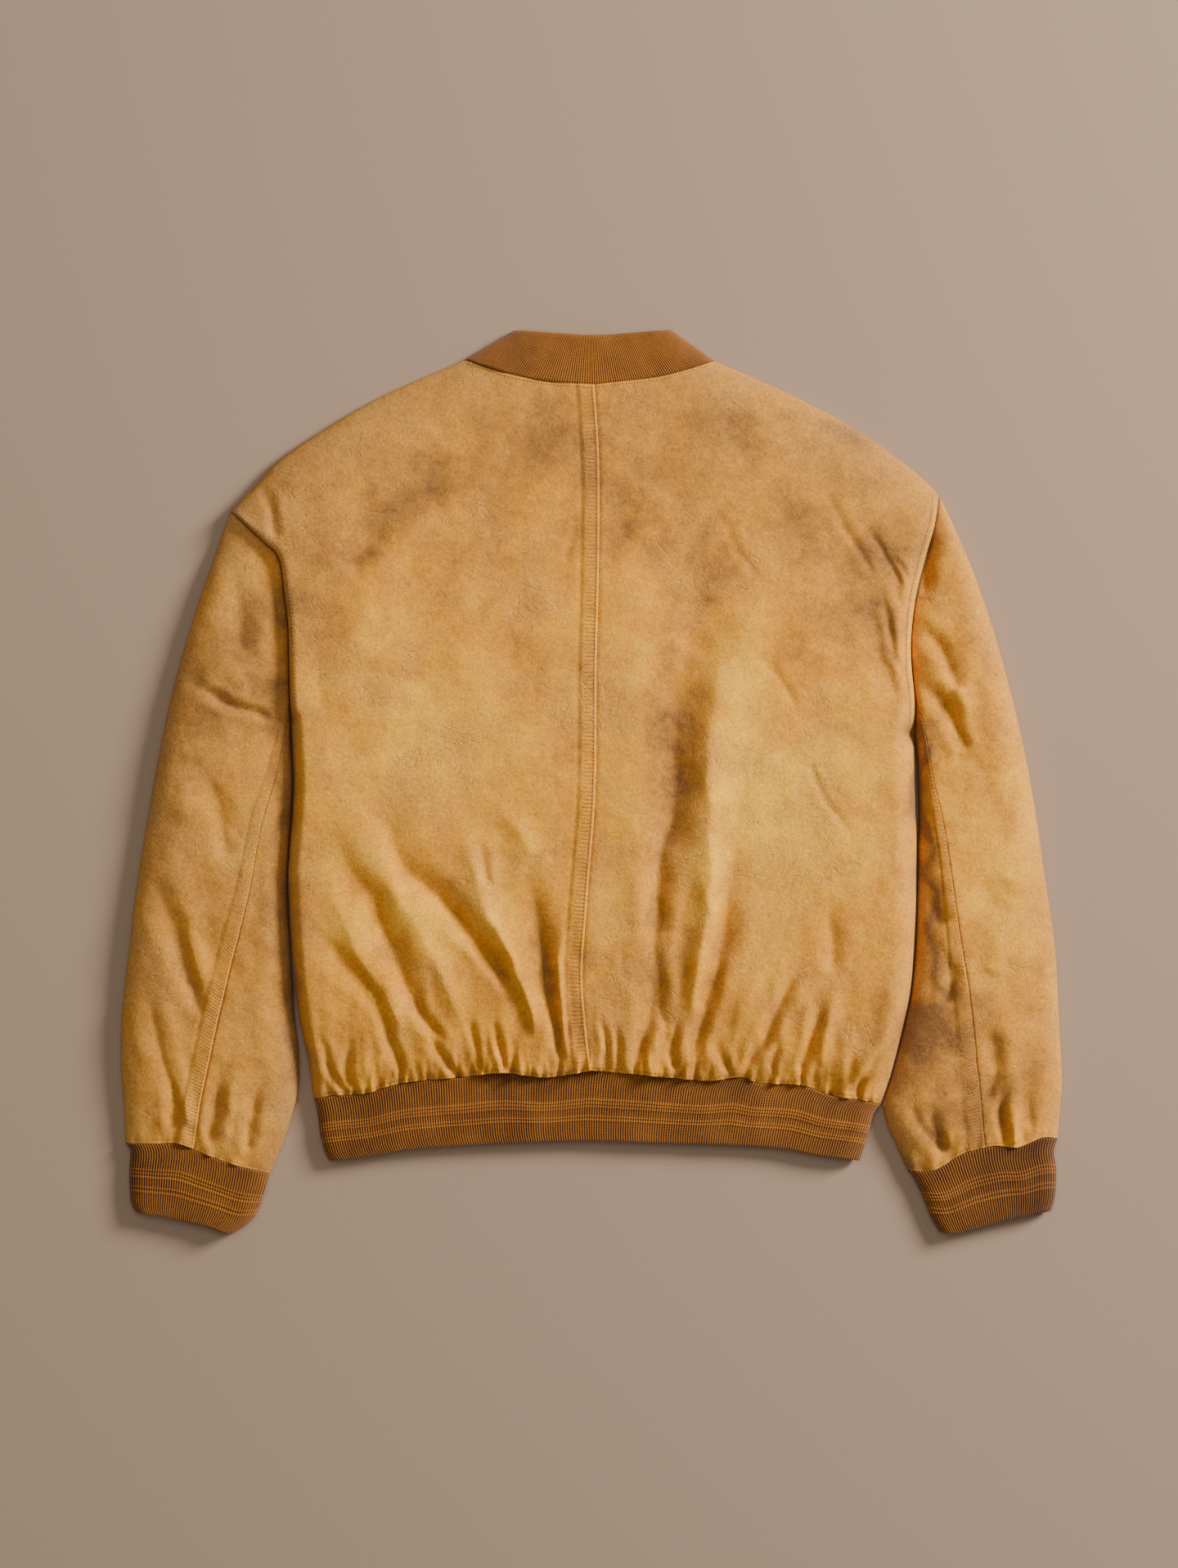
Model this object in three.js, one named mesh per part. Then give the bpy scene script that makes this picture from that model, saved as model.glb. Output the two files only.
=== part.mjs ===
// A suede blouson with rib-knit collar, cuffs and hem band. It lies face down on a flat surface, so its
// back is up. Millimetres; +X is to the right of the jacket as it lies, +Y runs to the collar, +Z is up.
// The origin is at the middle of the jacket's plan, on the surface.
//
// Every panel is a thin wall. Its plan is a four-sided patch between named edge curves, its height comes
// from a loft table, rounded edges and a table of folds, and its inside is set off by the wall's thickness.
import * as THREE from 'three';

// Driving dimensions
const SUEDE_WALL = 2;        // suede with its backing
const RIB_WALL = 3;          // doubled rib knit
const SEAM_GAP = 0.3;        // between two panels at a seam
const FOLD_HEIGHT = 5;       // height of the fold line along a closed edge
const UNDER_ROLL = 9;        // how far in the underside lifts off the surface at a closed edge
const SIDE_ROLL = 46;        // how far in the back reaches its loft from the side folds
const SHOULDER_ROLL = 64;    // the same from the shoulder line
const ARMHOLE_ROLL = 30;     // the same from the armhole seams
const SLEEVE_ROLL = 38;      // the same inside a sleeve
const ARMHOLE_HEIGHT = 15;   // top of the armhole seam
const LAP_HALF = 16;         // half the width that the left front laps over the right
const LAP_LIFT = 2.8;        // room under the lap for the buttons
const LAP_SLOPE = 34;        // run over which a front comes down from the lap
const LAP_LEVEL = 4;         // how far a front stays level past the other one's edge
const BUTTON_RADIUS = 10;
const BUTTON_THICK = 2.2;
const BUTTON_COUNT = 5;
const BUTTON_TOP_Y = 252;
const BUTTON_PITCH = 118;

// Edge curves in plan, each row [x, y]
const CENTRE_BACK = [[0, -248], [-7, -171], [-3, -101], [4, -7], [5, 98], [7, 187], [7, 277], [3, 340]];
const HEM_LEFT = [[0, -248], [-38, -254], [-76, -250], [-110, -254], [-161, -259], [-193, -268],
  [-220, -270], [-238, -273]];
const HEM_RIGHT = [[0, -248], [45, -252], [98, -257], [127, -254], [145, -259], [181, -261], [207, -270],
  [233, -274], [249, -278]];
const NECK_LEFT = [[3, 340], [-41, 343], [-78, 351], [-109, 362]];
const NECK_RIGHT = [[3, 340], [54, 346], [82, 353], [106, 361]];
const FRONT_NECK_LEFT = [[3, 282], [-40, 294], [-80, 326], [-109, 362]];
const FRONT_NECK_RIGHT = [[3, 282], [40, 294], [78, 326], [106, 361]];
const SHOULDER_LEFT = [[-109, 362], [-177, 332], [-226, 304], [-266, 277], [-293, 249], [-310, 232]];
const SHOULDER_RIGHT = [[106, 361], [172, 332], [225, 304], [264, 277], [284, 261], [299, 246]];
const SIDE_LEFT = [[-238, -273], [-243, -239], [-252, -195], [-257, -141], [-260, -88], [-259, -60],
  [-255, 0], [-258, 52]];
const SIDE_RIGHT = [[249, -278], [257, -255], [267, -216], [275, -176], [279, -117], [280, -48], [279, -20],
  [278, 41]];
const ARMHOLE_LEFT = [[-258, 52], [-259, 94], [-260, 132], [-263, 158], [-268, 191], [-282, 206],
  [-310, 232]];
const ARMHOLE_RIGHT = [[278, 41], [278, 69], [275, 100], [275, 127], [279, 159], [287, 192], [295, 220],
  [299, 246]];
const SLEEVE_OUTER_LEFT = [[-310, 232], [-324, 192], [-343, 136], [-359, 80], [-371, 24], [-381, -32],
  [-390, -88], [-397, -144], [-403, -200], [-404, -242], [-401, -284], [-400, -311]];
const SLEEVE_OUTER_RIGHT = [[299, 246], [324, 192], [344, 136], [360, 80], [373, 24], [383, -32], [391, -88],
  [399, -144], [402, -200], [405, -256], [403, -284], [401, -307]];
// The sleeve's inner edge leaves the side fold by this much, each row [share of the way down, distance]
const SIDE_CLEARANCE_LEFT = [[0, 0.3], [0.08, 1.6], [0.3, 0.6], [0.7, 2], [0.9, 7], [1, 10]];
const SIDE_CLEARANCE_RIGHT = [[0, 0.3], [0.08, 5], [0.2, 9], [0.3, 1.2], [0.8, 1], [1, 1.5]];
const SLEEVE_END_LEFT = [[-247, -271], [-258, -296], [-269, -321], [-276, -337]];
const SLEEVE_END_RIGHT = [[249, -279.5], [255, -297], [263, -314], [272, -334]];
const CUFF_SEAM_LEFT = [[-400, -311], [-373, -311], [-353, -311], [-331, -320], [-306, -329], [-276, -337]];
const CUFF_SEAM_RIGHT = [[401, -307], [387, -306], [366, -314], [345, -313], [318, -320], [294, -334],
  [272, -334]];
const CUFF_END_LEFT = [[-392, -370], [-366, -374], [-331, -382], [-313, -388], [-299, -384]];
const CUFF_END_RIGHT = [[396, -369], [371, -373], [330, -383], [312, -388], [299, -387]];
const CUFF_OUTER_LEFT = [[-400, -311], [-396, -319], [-397, -336], [-396, -360], [-392, -370]];
const CUFF_OUTER_RIGHT = [[401, -307], [398, -319], [400, -334], [399, -356], [396, -369]];
const CUFF_INNER_LEFT = [[-276, -337], [-283, -361], [-289, -375], [-299, -384]];
const CUFF_INNER_RIGHT = [[272, -334], [277, -341], [284, -355], [292, -375], [299, -387]];
const BAND_SIDE_LEFT = [[-238, -273], [-235, -286], [-233, -303], [-229, -319], [-225, -326]];
const BAND_SIDE_RIGHT = [[249, -278], [243, -286], [240, -297], [236, -311], [231, -326]];
const BAND_END = [[-225, -326], [-186, -321], [-157, -316], [-101, -312], [-33, -309], [12, -309], [71, -311],
  [132, -313], [167, -316], [193, -321], [231, -326]];
const COLLAR_TOP = [[-66, 388], [-30, 385], [2, 383], [36, 385], [69, 388]];
const COLLAR_FRONT_TOP_LEFT = [[3, 324], [-28, 336], [-52, 362], [-66, 388]];
const COLLAR_FRONT_TOP_RIGHT = [[3, 324], [30, 336], [54, 362], [69, 388]];

// Heights along the body, each row [y, height of the back]
const BODY_LOFT = [[-280, 14], [-262, 15], [-236, 23], [-170, 30], [-40, 34], [90, 31], [190, 26], [280, 20],
  [345, 15], [365, 15]];
// Heights along a sleeve, each row [share of the way to the cuff, height]
const SLEEVE_LOFT = [[0, 15], [0.12, 21], [0.4, 24], [0.75, 22], [0.93, 18], [1, 14]];
// Where the back seam of each sleeve crosses it, each row [share of the way to the cuff, share from the
// outer edge]
const SLEEVE_SEAM_LEFT = [[0, 0.93], [0.08, 0.86], [0.2, 0.78], [0.4, 0.68], [0.6, 0.59], [0.8, 0.49],
  [0.93, 0.46], [1, 0.47]];
const SLEEVE_SEAM_RIGHT = [[0, 0.88], [0.08, 0.85], [0.2, 0.79], [0.4, 0.66], [0.6, 0.57], [0.8, 0.49],
  [0.93, 0.47], [1, 0.48]];
const SLEEVE_FRONT_SEAM = 0.55;   // the hidden seam, as a share from the outer edge

// The largest folds, each row [x1, y1, x2, y2, x3, y3, half width, height]; a valley is negative
const BODY_FOLDS = [
  [-116, 274, -175, 245, -202, 170, 15, -6],
  [-142, 221, -177, 137, -205, 39, 28, 4],
  [-225, 131, -229, 88, -226, 45, 13, -3],
  [-191, -5, -128, -101, -70, -182, 13, -8],
  [-71, -174, -66, -209, -66, -244, 8, -5],
  [-96, -60, -77, -129, -47, -234, 11, 6],
  [-216, -34, -163, -122, -102, -226, 14, 5],
  [-215, -60, -163, -153, -114, -241, 11, -6],
  [-240, -101, -209, -181, -194, -234, 11, 4],
  [16, 252, 30, 214, 13, 179, 10, -3],
  [100, 171, 72, 88, 63, -106, 18, -9],
  [119, 162, 98, 18, 100, -106, 14, 6],
  [100, -87, 91, -181, 70, -248, 9, 6],
  [121, -67, 111, -122, 89, -244, 9, -6],
  [43, -130, 53, -185, 39, -234, 11, -6],
  [202, -106, 198, -157, 181, -251, 8, -5],
  [177, -162, 159, -193, 135, -248, 8, -5],
  [228, 233, 247, 207, 261, 176, 9, -4],
  [218, 185, 241, 127, 259, 66, 11, -5],
  [205, 204, 232, 153, 245, 109, 10, 3],
];
const SLEEVE_FOLDS_LEFT = [
  [-308, 179, -301, 148, -299, 120, 9, -4],
  [-377, -66, -362, -129, -340, -209, 10, -5],
  [-387, -172, -373, -241, -363, -307, 9, -5],
  [-355, -88, -336, -144, -327, -192, 10, 3],
];
const SLEEVE_FOLDS_RIGHT = [
  [279, 132, 296, 111, 314, 85, 9, -5],
  [280, 89, 304, 69, 320, 31, 9, -5],
  [299, -139, 306, -164, 305, -188, 9, -5],
  [275, -267, 282, -297, 307, -318, 8, -5],
];
// Gathers where the suede is eased onto the hem band, each row [x, length up from the seam, height]
const HEM_GATHERS = [
  [-222, 22, -2], [-203, 34, -3], [-184, 26, -3], [-163, 30, -3], [-140, 20, -2], [-114, 38, -3],
  [-88, 24, 2], [-66, 34, -3], [-44, 24, 2.5], [-27, 30, -2.5], [-11, 22, 2], [10, 28, -3], [24, 24, -2],
  [39, 30, -3], [55, 20, 2], [72, 34, -3], [90, 30, -3], [112, 20, 2], [134, 32, -3], [157, 24, 2],
  [181, 34, -3], [205, 22, -2], [230, 26, -3],
];
const GATHER_HALF = 6;
// Rows of purl that stand up across the rib bands, as shares of the band's depth
const PURL_ROWS = [0.41, 0.46, 0.51, 0.64, 0.69];
const PURL_HALF = 0.025;
const PURL_HEIGHT = 0.8;
const BAND_FOLD_HEIGHT = 5;
const BAND_ROLL = 16;
const CUFF_HEIGHTS = [14, 13];        // at the seam and at the open end
const HEM_BAND_HEIGHTS = [13, 12];
const COLLAR_FOLD_HEIGHT = 4;
const COLLAR_HEIGHT = 15;
const COLLAR_FALL = 1;                // how much lower the collar's free edge lies
const COLLAR_ROLL = 0.16;             // share of a collar part over which it rolls into its end fold
const COLLAR_FRONT_GAP = 0.5;

// Grid: how many straight stretches each edge is cut into. Neighbours share these points along a seam.
const SIDE_SPANS = 9;
const ARMHOLE_SPANS = 6;
const NECK_SPANS = 3;
const SHOULDER_SPANS = 5;
const SLEEVE_SPANS = 15;
const CUFF_SPANS = 6;
const EDGE_STEPS = [2.5, 8, 18];         // extra grid lines, distances in from a closed edge
const HEM_ROWS = [0.012, 0.03];          // extra rows of a back that carry the gathers
const HEM_SPLITS = 3;
const TILT_REACH = 6;                    // from a fold line, where a seam's rim turns from level to upright
const INWARD_SHARE = 0.02;               // share of a panel that shows which way is in from a fold line
const WIDE_COLUMN = 0.04;                // share of a back above which its columns are split at the hem
const NEAR_GRID = 1;                     // grid points closer than this are dropped
const SEAM_CLEAR = 3;                    // fine steps stay this far from a sleeve's back seam
const SLEEVE_STEP = 18;
const SLEEVE_UNDER_STEP = 40;
const BAND_EDGE_STEPS = [3, 10];
const CUFF_COLUMNS = 4;
const HEM_BAND_COLUMNS = 12;
const COLLAR_DEPTHS = [0, 0.35, 0.7, 1];
const COLLAR_SPLITS = 2;
const BUTTON_SIDES = 12;

const finish = (name, color, roughness) => new THREE.MeshStandardMaterial({
  name, color, roughness, metalness: 0,
});
const SUEDE = finish('suede', 0xc8935a, 0.95);
const KNIT = finish('rib_knit', 0x8f551f, 0.9);
const HORN = finish('button_horn', 0x4a2f1c, 0.35);

const clamp01 = (value) => Math.min(1, Math.max(0, value));

// Rounded rise from 0 at an edge to 1 at the given share of the roll
const roundRise = (share) => Math.sqrt(1 - (1 - clamp01(share)) ** 2);

const softRise = (share) => Math.sin(clamp01(share) * Math.PI / 2);

// Value of a two-column table at a key, in straight steps
function lookUp(table, key) {
  if (key <= table[0][0]) return table[0][1];
  for (let row = 1; row < table.length; row++) {
    const [from, low] = table[row - 1];
    const [to, high] = table[row];
    if (key <= to) return low + (high - low) * (key - from) / (to - from);
  }
  return table[table.length - 1][1];
}

// An edge in plan: smooth curves through point tables that follow each other, each cut into a number of
// straight spans of one length. A share of the edge counts spans, so edges with like spans match up.
class Edge {
  constructor(...parts) {
    this.points = [];
    for (const [table, spans] of parts) {
      const spline = new THREE.SplineCurve(table.map(([x, y]) => new THREE.Vector2(x, y)));
      const sampled = spline.getSpacedPoints(spans);
      this.points.push(...(this.points.length ? sampled.slice(1) : sampled));
    }
  }

  static through(points) {
    const edge = new Edge();
    edge.points = points;
    return edge;
  }

  get spans() {
    return this.points.length - 1;
  }

  get length() {
    return this.points.slice(1).reduce((sum, point, i) => sum + point.distanceTo(this.points[i]), 0);
  }

  at(share) {
    const reach = clamp01(share) * this.spans;
    const i = Math.min(this.spans - 1, Math.floor(reach));
    return this.points[i].clone().lerp(this.points[i + 1], reach - i);
  }

  // Distance from a point, the share where the edge is nearest, and the way from there to the point
  nearest(x, y) {
    let best = { distance: Infinity };
    for (let i = 0; i < this.spans; i++) {
      const a = this.points[i];
      const run = this.points[i + 1].clone().sub(a);
      const along = clamp01(((x - a.x) * run.x + (y - a.y) * run.y) / run.lengthSq());
      const away = new THREE.Vector2(x, y).sub(a).addScaledVector(run, -along);
      const distance = away.length();
      if (distance < best.distance) best = { distance, share: (i + along) / this.spans, away };
    }
    return best;
  }

  // The same edge moved sideways by a distance that depends on the share of its length
  moved(distanceAt) {
    return Edge.through(this.points.map((point, i) => {
      const before = this.points[Math.max(0, i - 1)];
      const after = this.points[Math.min(this.spans, i + 1)];
      const run = after.clone().sub(before).normalize();
      const distance = distanceAt(i / this.spans);
      return new THREE.Vector2(point.x + run.y * distance, point.y - run.x * distance);
    }));
  }

  shifted(dx, dy) {
    return Edge.through(this.points.map((point) => new THREE.Vector2(point.x + dx, point.y + dy)));
  }

  // The same edge with one end moved
  ended(atStart, x, y) {
    const points = this.points.map((point) => point.clone());
    points[atStart ? 0 : points.length - 1].set(x, y);
    return Edge.through(points);
  }

  reversed() {
    return Edge.through([...this.points].reverse());
  }
}

// Plan of a four-sided panel: s runs from the near edge to the far edge, v from the start to the end
function panelPlan(start, end, near, far) {
  const corner = [start.at(0), start.at(1), end.at(0), end.at(1)];
  const blend = (axis, s, v) => start.at(s)[axis] * (1 - v) + end.at(s)[axis] * v
    + near.at(v)[axis] * (1 - s) + far.at(v)[axis] * s
    - corner[0][axis] * (1 - s) * (1 - v) - corner[1][axis] * s * (1 - v)
    - corner[2][axis] * (1 - s) * v - corner[3][axis] * s * v;
  return (s, v) => [blend('x', s, v), blend('y', s, v)];
}

// Height that the folds of a table add at a point; each fades out at its ends
function foldRelief(folds, x, y) {
  let relief = 0;
  for (const [x1, y1, x2, y2, x3, y3, half, height] of folds) {
    const line = [[x1, y1], [x2, y2], [x3, y3]];
    const fold = Edge.through(line.map((point) => new THREE.Vector2(...point)));
    const { distance, share } = fold.nearest(x, y);
    relief += height * Math.sqrt(Math.sin(Math.PI * share)) * Math.exp(-((distance / half) ** 2));
  }
  return relief;
}

// A closed wall from rows of points, each { outer, inner }. Rows may differ in how many points they hold.
function wallGeometry(rows, ring = false) {
  const positions = [];
  const triangles = [];
  const placed = rows.map((row) => row.map((point) => {
    const first = positions.length / 3;
    positions.push(point.outer.x, point.outer.y, point.outer.z, point.inner.x, point.inner.y, point.inner.z);
    return { outer: first, inner: first + 1, share: point.share };
  }));
  const quad = (a, b, c, d) => triangles.push([a, b, c], [a, c, d]);
  const pointOf = (row, i) => row[i % row.length];
  const shareOf = (row, i) => (i < row.length ? row[i].share : 1 + row[0].share);
  const spansOf = (row) => row.length - (ring ? 0 : 1);
  const middle = (row, i) => (i < spansOf(row) ? (shareOf(row, i) + shareOf(row, i + 1)) / 2 : Infinity);

  for (let r = 0; r + 1 < placed.length; r++) {
    const here = placed[r];
    const next = placed[r + 1];
    let i = 0;
    let j = 0;
    while (i < spansOf(here) || j < spansOf(next)) {
      const stepHere = middle(here, i) <= middle(next, j);
      const a = pointOf(here, i);
      const b = pointOf(next, j);
      const c = stepHere ? pointOf(here, i + 1) : pointOf(next, j + 1);
      triangles.push([a.outer, b.outer, c.outer], [a.inner, c.inner, b.inner]);
      if (stepHere) i++; else j++;
    }
    if (!ring) {
      const last = [here[here.length - 1], next[next.length - 1]];
      quad(here[0].outer, here[0].inner, next[0].inner, next[0].outer);
      quad(last[0].outer, last[1].outer, last[1].inner, last[0].inner);
    }
  }
  for (const [row, atStart] of [[placed[0], true], [placed[placed.length - 1], false]]) {
    for (let i = 0; i < spansOf(row); i++) {
      const a = row[i];
      const b = pointOf(row, i + 1);
      if (atStart) quad(a.outer, b.outer, b.inner, a.inner);
      else quad(a.outer, a.inner, b.inner, b.outer);
    }
  }
  return closedGeometry(positions, triangles);
}

// Geometry with its faces turned outwards
function closedGeometry(positions, triangles) {
  const point = (i) => new THREE.Vector3(positions[3 * i], positions[3 * i + 1], positions[3 * i + 2]);
  let volume = 0;
  for (const [a, b, c] of triangles) volume += point(a).dot(point(b).cross(point(c)));
  const turned = volume < 0 ? triangles.map(([a, b, c]) => [a, c, b]) : triangles;
  const geometry = new THREE.BufferGeometry();
  geometry.setAttribute('position', new THREE.Float32BufferAttribute(positions, 3));
  geometry.setIndex(turned.flat());
  geometry.computeVertexNormals();
  return geometry;
}

// Point of a wall on a surface (s, v) => Vector3, its inside set off square to the surface
function wallPoint(surface, s, v, thickness, facing) {
  const step = 0.004;
  const outer = surface(s, v);
  const across = surface(clamp01(s + step), v).sub(surface(clamp01(s - step), v));
  const along = surface(s, clamp01(v + step)).sub(surface(s, clamp01(v - step)));
  const normal = across.cross(along).normalize();
  if (normal.z * facing < 0) normal.negate();
  return { outer, inner: outer.clone().addScaledVector(normal, -thickness) };
}

// Point of a wall at a seam. Its inside is straight below an upper panel or above a lower one, and turns
// level as the seam comes to the end of a fold line.
function seamPoint(outer, thickness, facing, foldEnds) {
  const offset = new THREE.Vector3(0, 0, -facing);
  for (const end of foldEnds) {
    const away = new THREE.Vector2(outer.x - end.x, outer.y - end.y);
    const turn = clamp01(1 - away.length() / TILT_REACH) * Math.PI / 2;
    if (turn > 0) {
      away.normalize();
      offset.set(away.x * Math.sin(turn), away.y * Math.sin(turn), -facing * Math.cos(turn));
    }
  }
  return { outer, inner: outer.clone().addScaledVector(offset, thickness) };
}

// Point of a wall on a fold line, its inside level with it towards a second point of the plan
function foldPoint(outer, [towardsX, towardsY], thickness) {
  const inward = new THREE.Vector3(towardsX - outer.x, towardsY - outer.y, 0).normalize();
  return { outer, inner: outer.clone().addScaledVector(inward, thickness) };
}

// Grid shares along an edge: its own points, each span split, and fine steps in from a closed far end
function gridShares(edge, splits, length, endClosed) {
  const shares = Array.from({ length: edge.spans * splits + 1 }, (_, i) => i / (edge.spans * splits));
  if (!endClosed) return shares;
  const steps = EDGE_STEPS.map((distance) => 1 - distance / length);
  const lastOwn = 1 - 1 / edge.spans;
  const kept = shares.filter((share) => share <= lastOwn + 1e-9 || share === 1);
  return [...kept, ...steps.filter((share) => share > lastOwn + 0.01)].sort((a, b) => a - b);
}

// The two halves of the jacket; turn is -1 on the left and +1 on the right
const HALVES = {
  left: {
    turn: -1, hem: HEM_LEFT, neck: NECK_LEFT, frontNeck: FRONT_NECK_LEFT, shoulder: SHOULDER_LEFT,
    side: SIDE_LEFT, armhole: ARMHOLE_LEFT, sleeveOuter: SLEEVE_OUTER_LEFT, clearance: SIDE_CLEARANCE_LEFT,
    sleeveEnd: SLEEVE_END_LEFT, cuffSeam: CUFF_SEAM_LEFT, cuffEnd: CUFF_END_LEFT, cuffOuter: CUFF_OUTER_LEFT,
    cuffInner: CUFF_INNER_LEFT, seamAt: SLEEVE_SEAM_LEFT, folds: SLEEVE_FOLDS_LEFT,
  },
  right: {
    turn: 1, hem: HEM_RIGHT, neck: NECK_RIGHT, frontNeck: FRONT_NECK_RIGHT, shoulder: SHOULDER_RIGHT,
    side: SIDE_RIGHT, armhole: ARMHOLE_RIGHT, sleeveOuter: SLEEVE_OUTER_RIGHT,
    clearance: SIDE_CLEARANCE_RIGHT,
    sleeveEnd: SLEEVE_END_RIGHT, cuffSeam: CUFF_SEAM_RIGHT, cuffEnd: CUFF_END_RIGHT,
    cuffOuter: CUFF_OUTER_RIGHT, cuffInner: CUFF_INNER_RIGHT, seamAt: SLEEVE_SEAM_RIGHT,
    folds: SLEEVE_FOLDS_RIGHT,
  },
};
for (const half of Object.values(HALVES)) {
  half.sideEdge = new Edge([half.side, SIDE_SPANS]);
  half.armholeEdge = new Edge([half.armhole, ARMHOLE_SPANS]);
  half.shoulderEdge = new Edge([half.shoulder, SHOULDER_SPANS]);
  half.outline = new Edge([half.side, SIDE_SPANS], [half.armhole, ARMHOLE_SPANS]);
  half.hemEdge = new Edge([half.hem, NECK_SPANS + SHOULDER_SPANS]);
  half.neckEdge = new Edge([half.neck, NECK_SPANS]);
  half.frontNeckEdge = new Edge([half.frontNeck, NECK_SPANS]);
  half.cuffEdge = new Edge([half.cuffSeam, CUFF_SPANS]);
  half.foldEnds = [half.shoulderEdge, half.sideEdge].flatMap((edge) => [edge.at(0), edge.at(1)]);
}
const UNDERARM_SHARE = SIDE_SPANS / (SIDE_SPANS + ARMHOLE_SPANS);
const NECK_SHARE = NECK_SPANS / (NECK_SPANS + SHOULDER_SPANS);

// Height of the armhole seam at a share of its length; it is down at the fold line at both ends
function armholeHeight(share, length) {
  const reach = Math.min(share, 1 - share) * length;
  return FOLD_HEIGHT + (ARMHOLE_HEIGHT - FOLD_HEIGHT) * roundRise(reach / SLEEVE_ROLL);
}

// Height that the gathers add at a distance up from the hem seam
function gatherRelief(x, distance) {
  let relief = 0;
  for (const [at, length, height] of HEM_GATHERS) {
    const up = clamp01(distance / length);
    relief += height * (1 - up) ** 1.5 * Math.exp(-(((x - at) / GATHER_HALF) ** 2));
  }
  return relief;
}

function backHeight(half, x, y) {
  const side = half.sideEdge.nearest(x, y);
  const shoulder = half.shoulderEdge.nearest(x, y);
  const armhole = half.armholeEdge.nearest(x, y);
  const hem = half.hemEdge.nearest(x, y);
  const relief = foldRelief(BODY_FOLDS, x, y) + gatherRelief(x, hem.distance);
  const body = lookUp(BODY_LOFT, y) + relief - FOLD_HEIGHT;
  const lofted = FOLD_HEIGHT
    + body * roundRise(side.distance / SIDE_ROLL) * roundRise(shoulder.distance / SHOULDER_ROLL);
  const seam = armholeHeight(armhole.share, half.armholeEdge.length);
  return THREE.MathUtils.lerp(seam, lofted, softRise(armhole.distance / ARMHOLE_ROLL));
}

// Lift of a front off the surface beside the lap; the right front lies above the left one
function lapLift(turn, x) {
  const past = turn * x - LAP_HALF - LAP_LEVEL;
  const own = turn < 0 ? LAP_LIFT : LAP_LIFT + SUEDE_WALL + SEAM_GAP;
  return own * (0.5 + 0.5 * Math.cos(Math.PI * clamp01(past / LAP_SLOPE)));
}

function frontHeight(half, x, y) {
  const side = half.sideEdge.nearest(x, y).distance;
  const shoulder = half.shoulderEdge.nearest(x, y).distance;
  const roll = Math.min(side, shoulder) / UNDER_ROLL;
  return (FOLD_HEIGHT - SEAM_GAP) * (1 - roundRise(roll)) + lapLift(half.turn, x);
}

// Keeps a back above the fold lines' height, and a front below it outside the lap
function onOwnSide(point, facing) {
  const limit = FOLD_HEIGHT + facing * SEAM_GAP / 2;
  for (const side of [point.outer, point.inner]) {
    const inLap = facing < 0 && Math.abs(side.x) < LAP_HALF + LAP_SLOPE;
    if (!inLap && facing * (side.z - limit) < 0) side.z = limit;
  }
  return point;
}

// Grid of a back (facing 1) or a front (facing -1) inside its four edges; the end edge is closed past
// neckShare, and the far edge below the underarm
function panelWall(half, edges, neckShare, facing, heightAt, rows, columnsOf) {
  const plan = panelPlan(...edges);
  const surface = (s, v) => {
    const [x, y] = plan(s, v);
    return new THREE.Vector3(x, y, heightAt(x, y));
  };
  const pointAt = (s, v) => {
    const closedSide = s === 1 && v < UNDERARM_SHARE + INWARD_SHARE / 4;
    const closedTop = v === 1 && s > neckShare - INWARD_SHARE / 4;
    if (closedSide || closedTop) {
      const [x, y] = plan(s, v);
      const atNeck = closedTop && s < neckShare + INWARD_SHARE / 4;
      const atTip = closedTop && s === 1;
      const inS = (closedSide || atNeck) && !atTip;
      const inV = closedTop && !atNeck;
      const towards = plan(inS ? s - INWARD_SHARE : s, inV ? v - INWARD_SHARE : v);
      return foldPoint(new THREE.Vector3(x, y, FOLD_HEIGHT + facing * SEAM_GAP / 2), towards, SUEDE_WALL);
    }
    const atSeam = v === 0 || v === 1 || s === 0 || s === 1;
    const point = atSeam ? seamPoint(surface(s, v), SUEDE_WALL, facing, half.foldEnds)
      : wallPoint(surface, s, v, SUEDE_WALL, facing);
    return onOwnSide(point, facing);
  };
  return wallGeometry(rows.map((v) => columnsOf(v).map((s) => ({ share: s, ...pointAt(s, v) }))));
}

function makeBack(half) {
  const gap = SEAM_GAP / 2;
  const centreGap = half.turn * gap;
  const [hemX, hemY] = half.hem[0];
  const [neckX, neckY] = half.neck[0];
  const centre = new Edge([CENTRE_BACK, half.outline.spans]).shifted(centreGap, 0)
    .ended(true, hemX + centreGap, hemY + gap).ended(false, neckX + centreGap, neckY - gap);
  const hem = half.hemEdge.shifted(0, gap).ended(true, hemX + centreGap, hemY + gap)
    .ended(false, ...half.side[0]);
  const neck = half.neckEdge.shifted(0, -gap).ended(true, neckX + centreGap, neckY - gap)
    .ended(false, ...half.shoulder[0]);
  const top = Edge.through([...neck.points, ...half.shoulderEdge.points.slice(1)]);
  const columns = gridShares(hem, 2, hem.length, true);
  const fineColumns = columns.slice(0, 1);
  for (let i = 1; i < columns.length; i++) {
    const run = columns[i] - columns[i - 1];
    const splits = run > WIDE_COLUMN ? HEM_SPLITS : 1;
    for (let k = 1; k <= splits; k++) fineColumns.push(columns[i - 1] + run * k / splits);
  }
  const rows = [...gridShares(half.outline, 2, centre.length, true), ...HEM_ROWS].sort((a, b) => a - b);
  return panelWall(half, [hem, top, centre, half.outline], NECK_SHARE, 1, (x, y) => backHeight(half, x, y),
    rows, (v) => (v <= HEM_ROWS.at(-1) ? fineColumns : columns));
}

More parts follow.
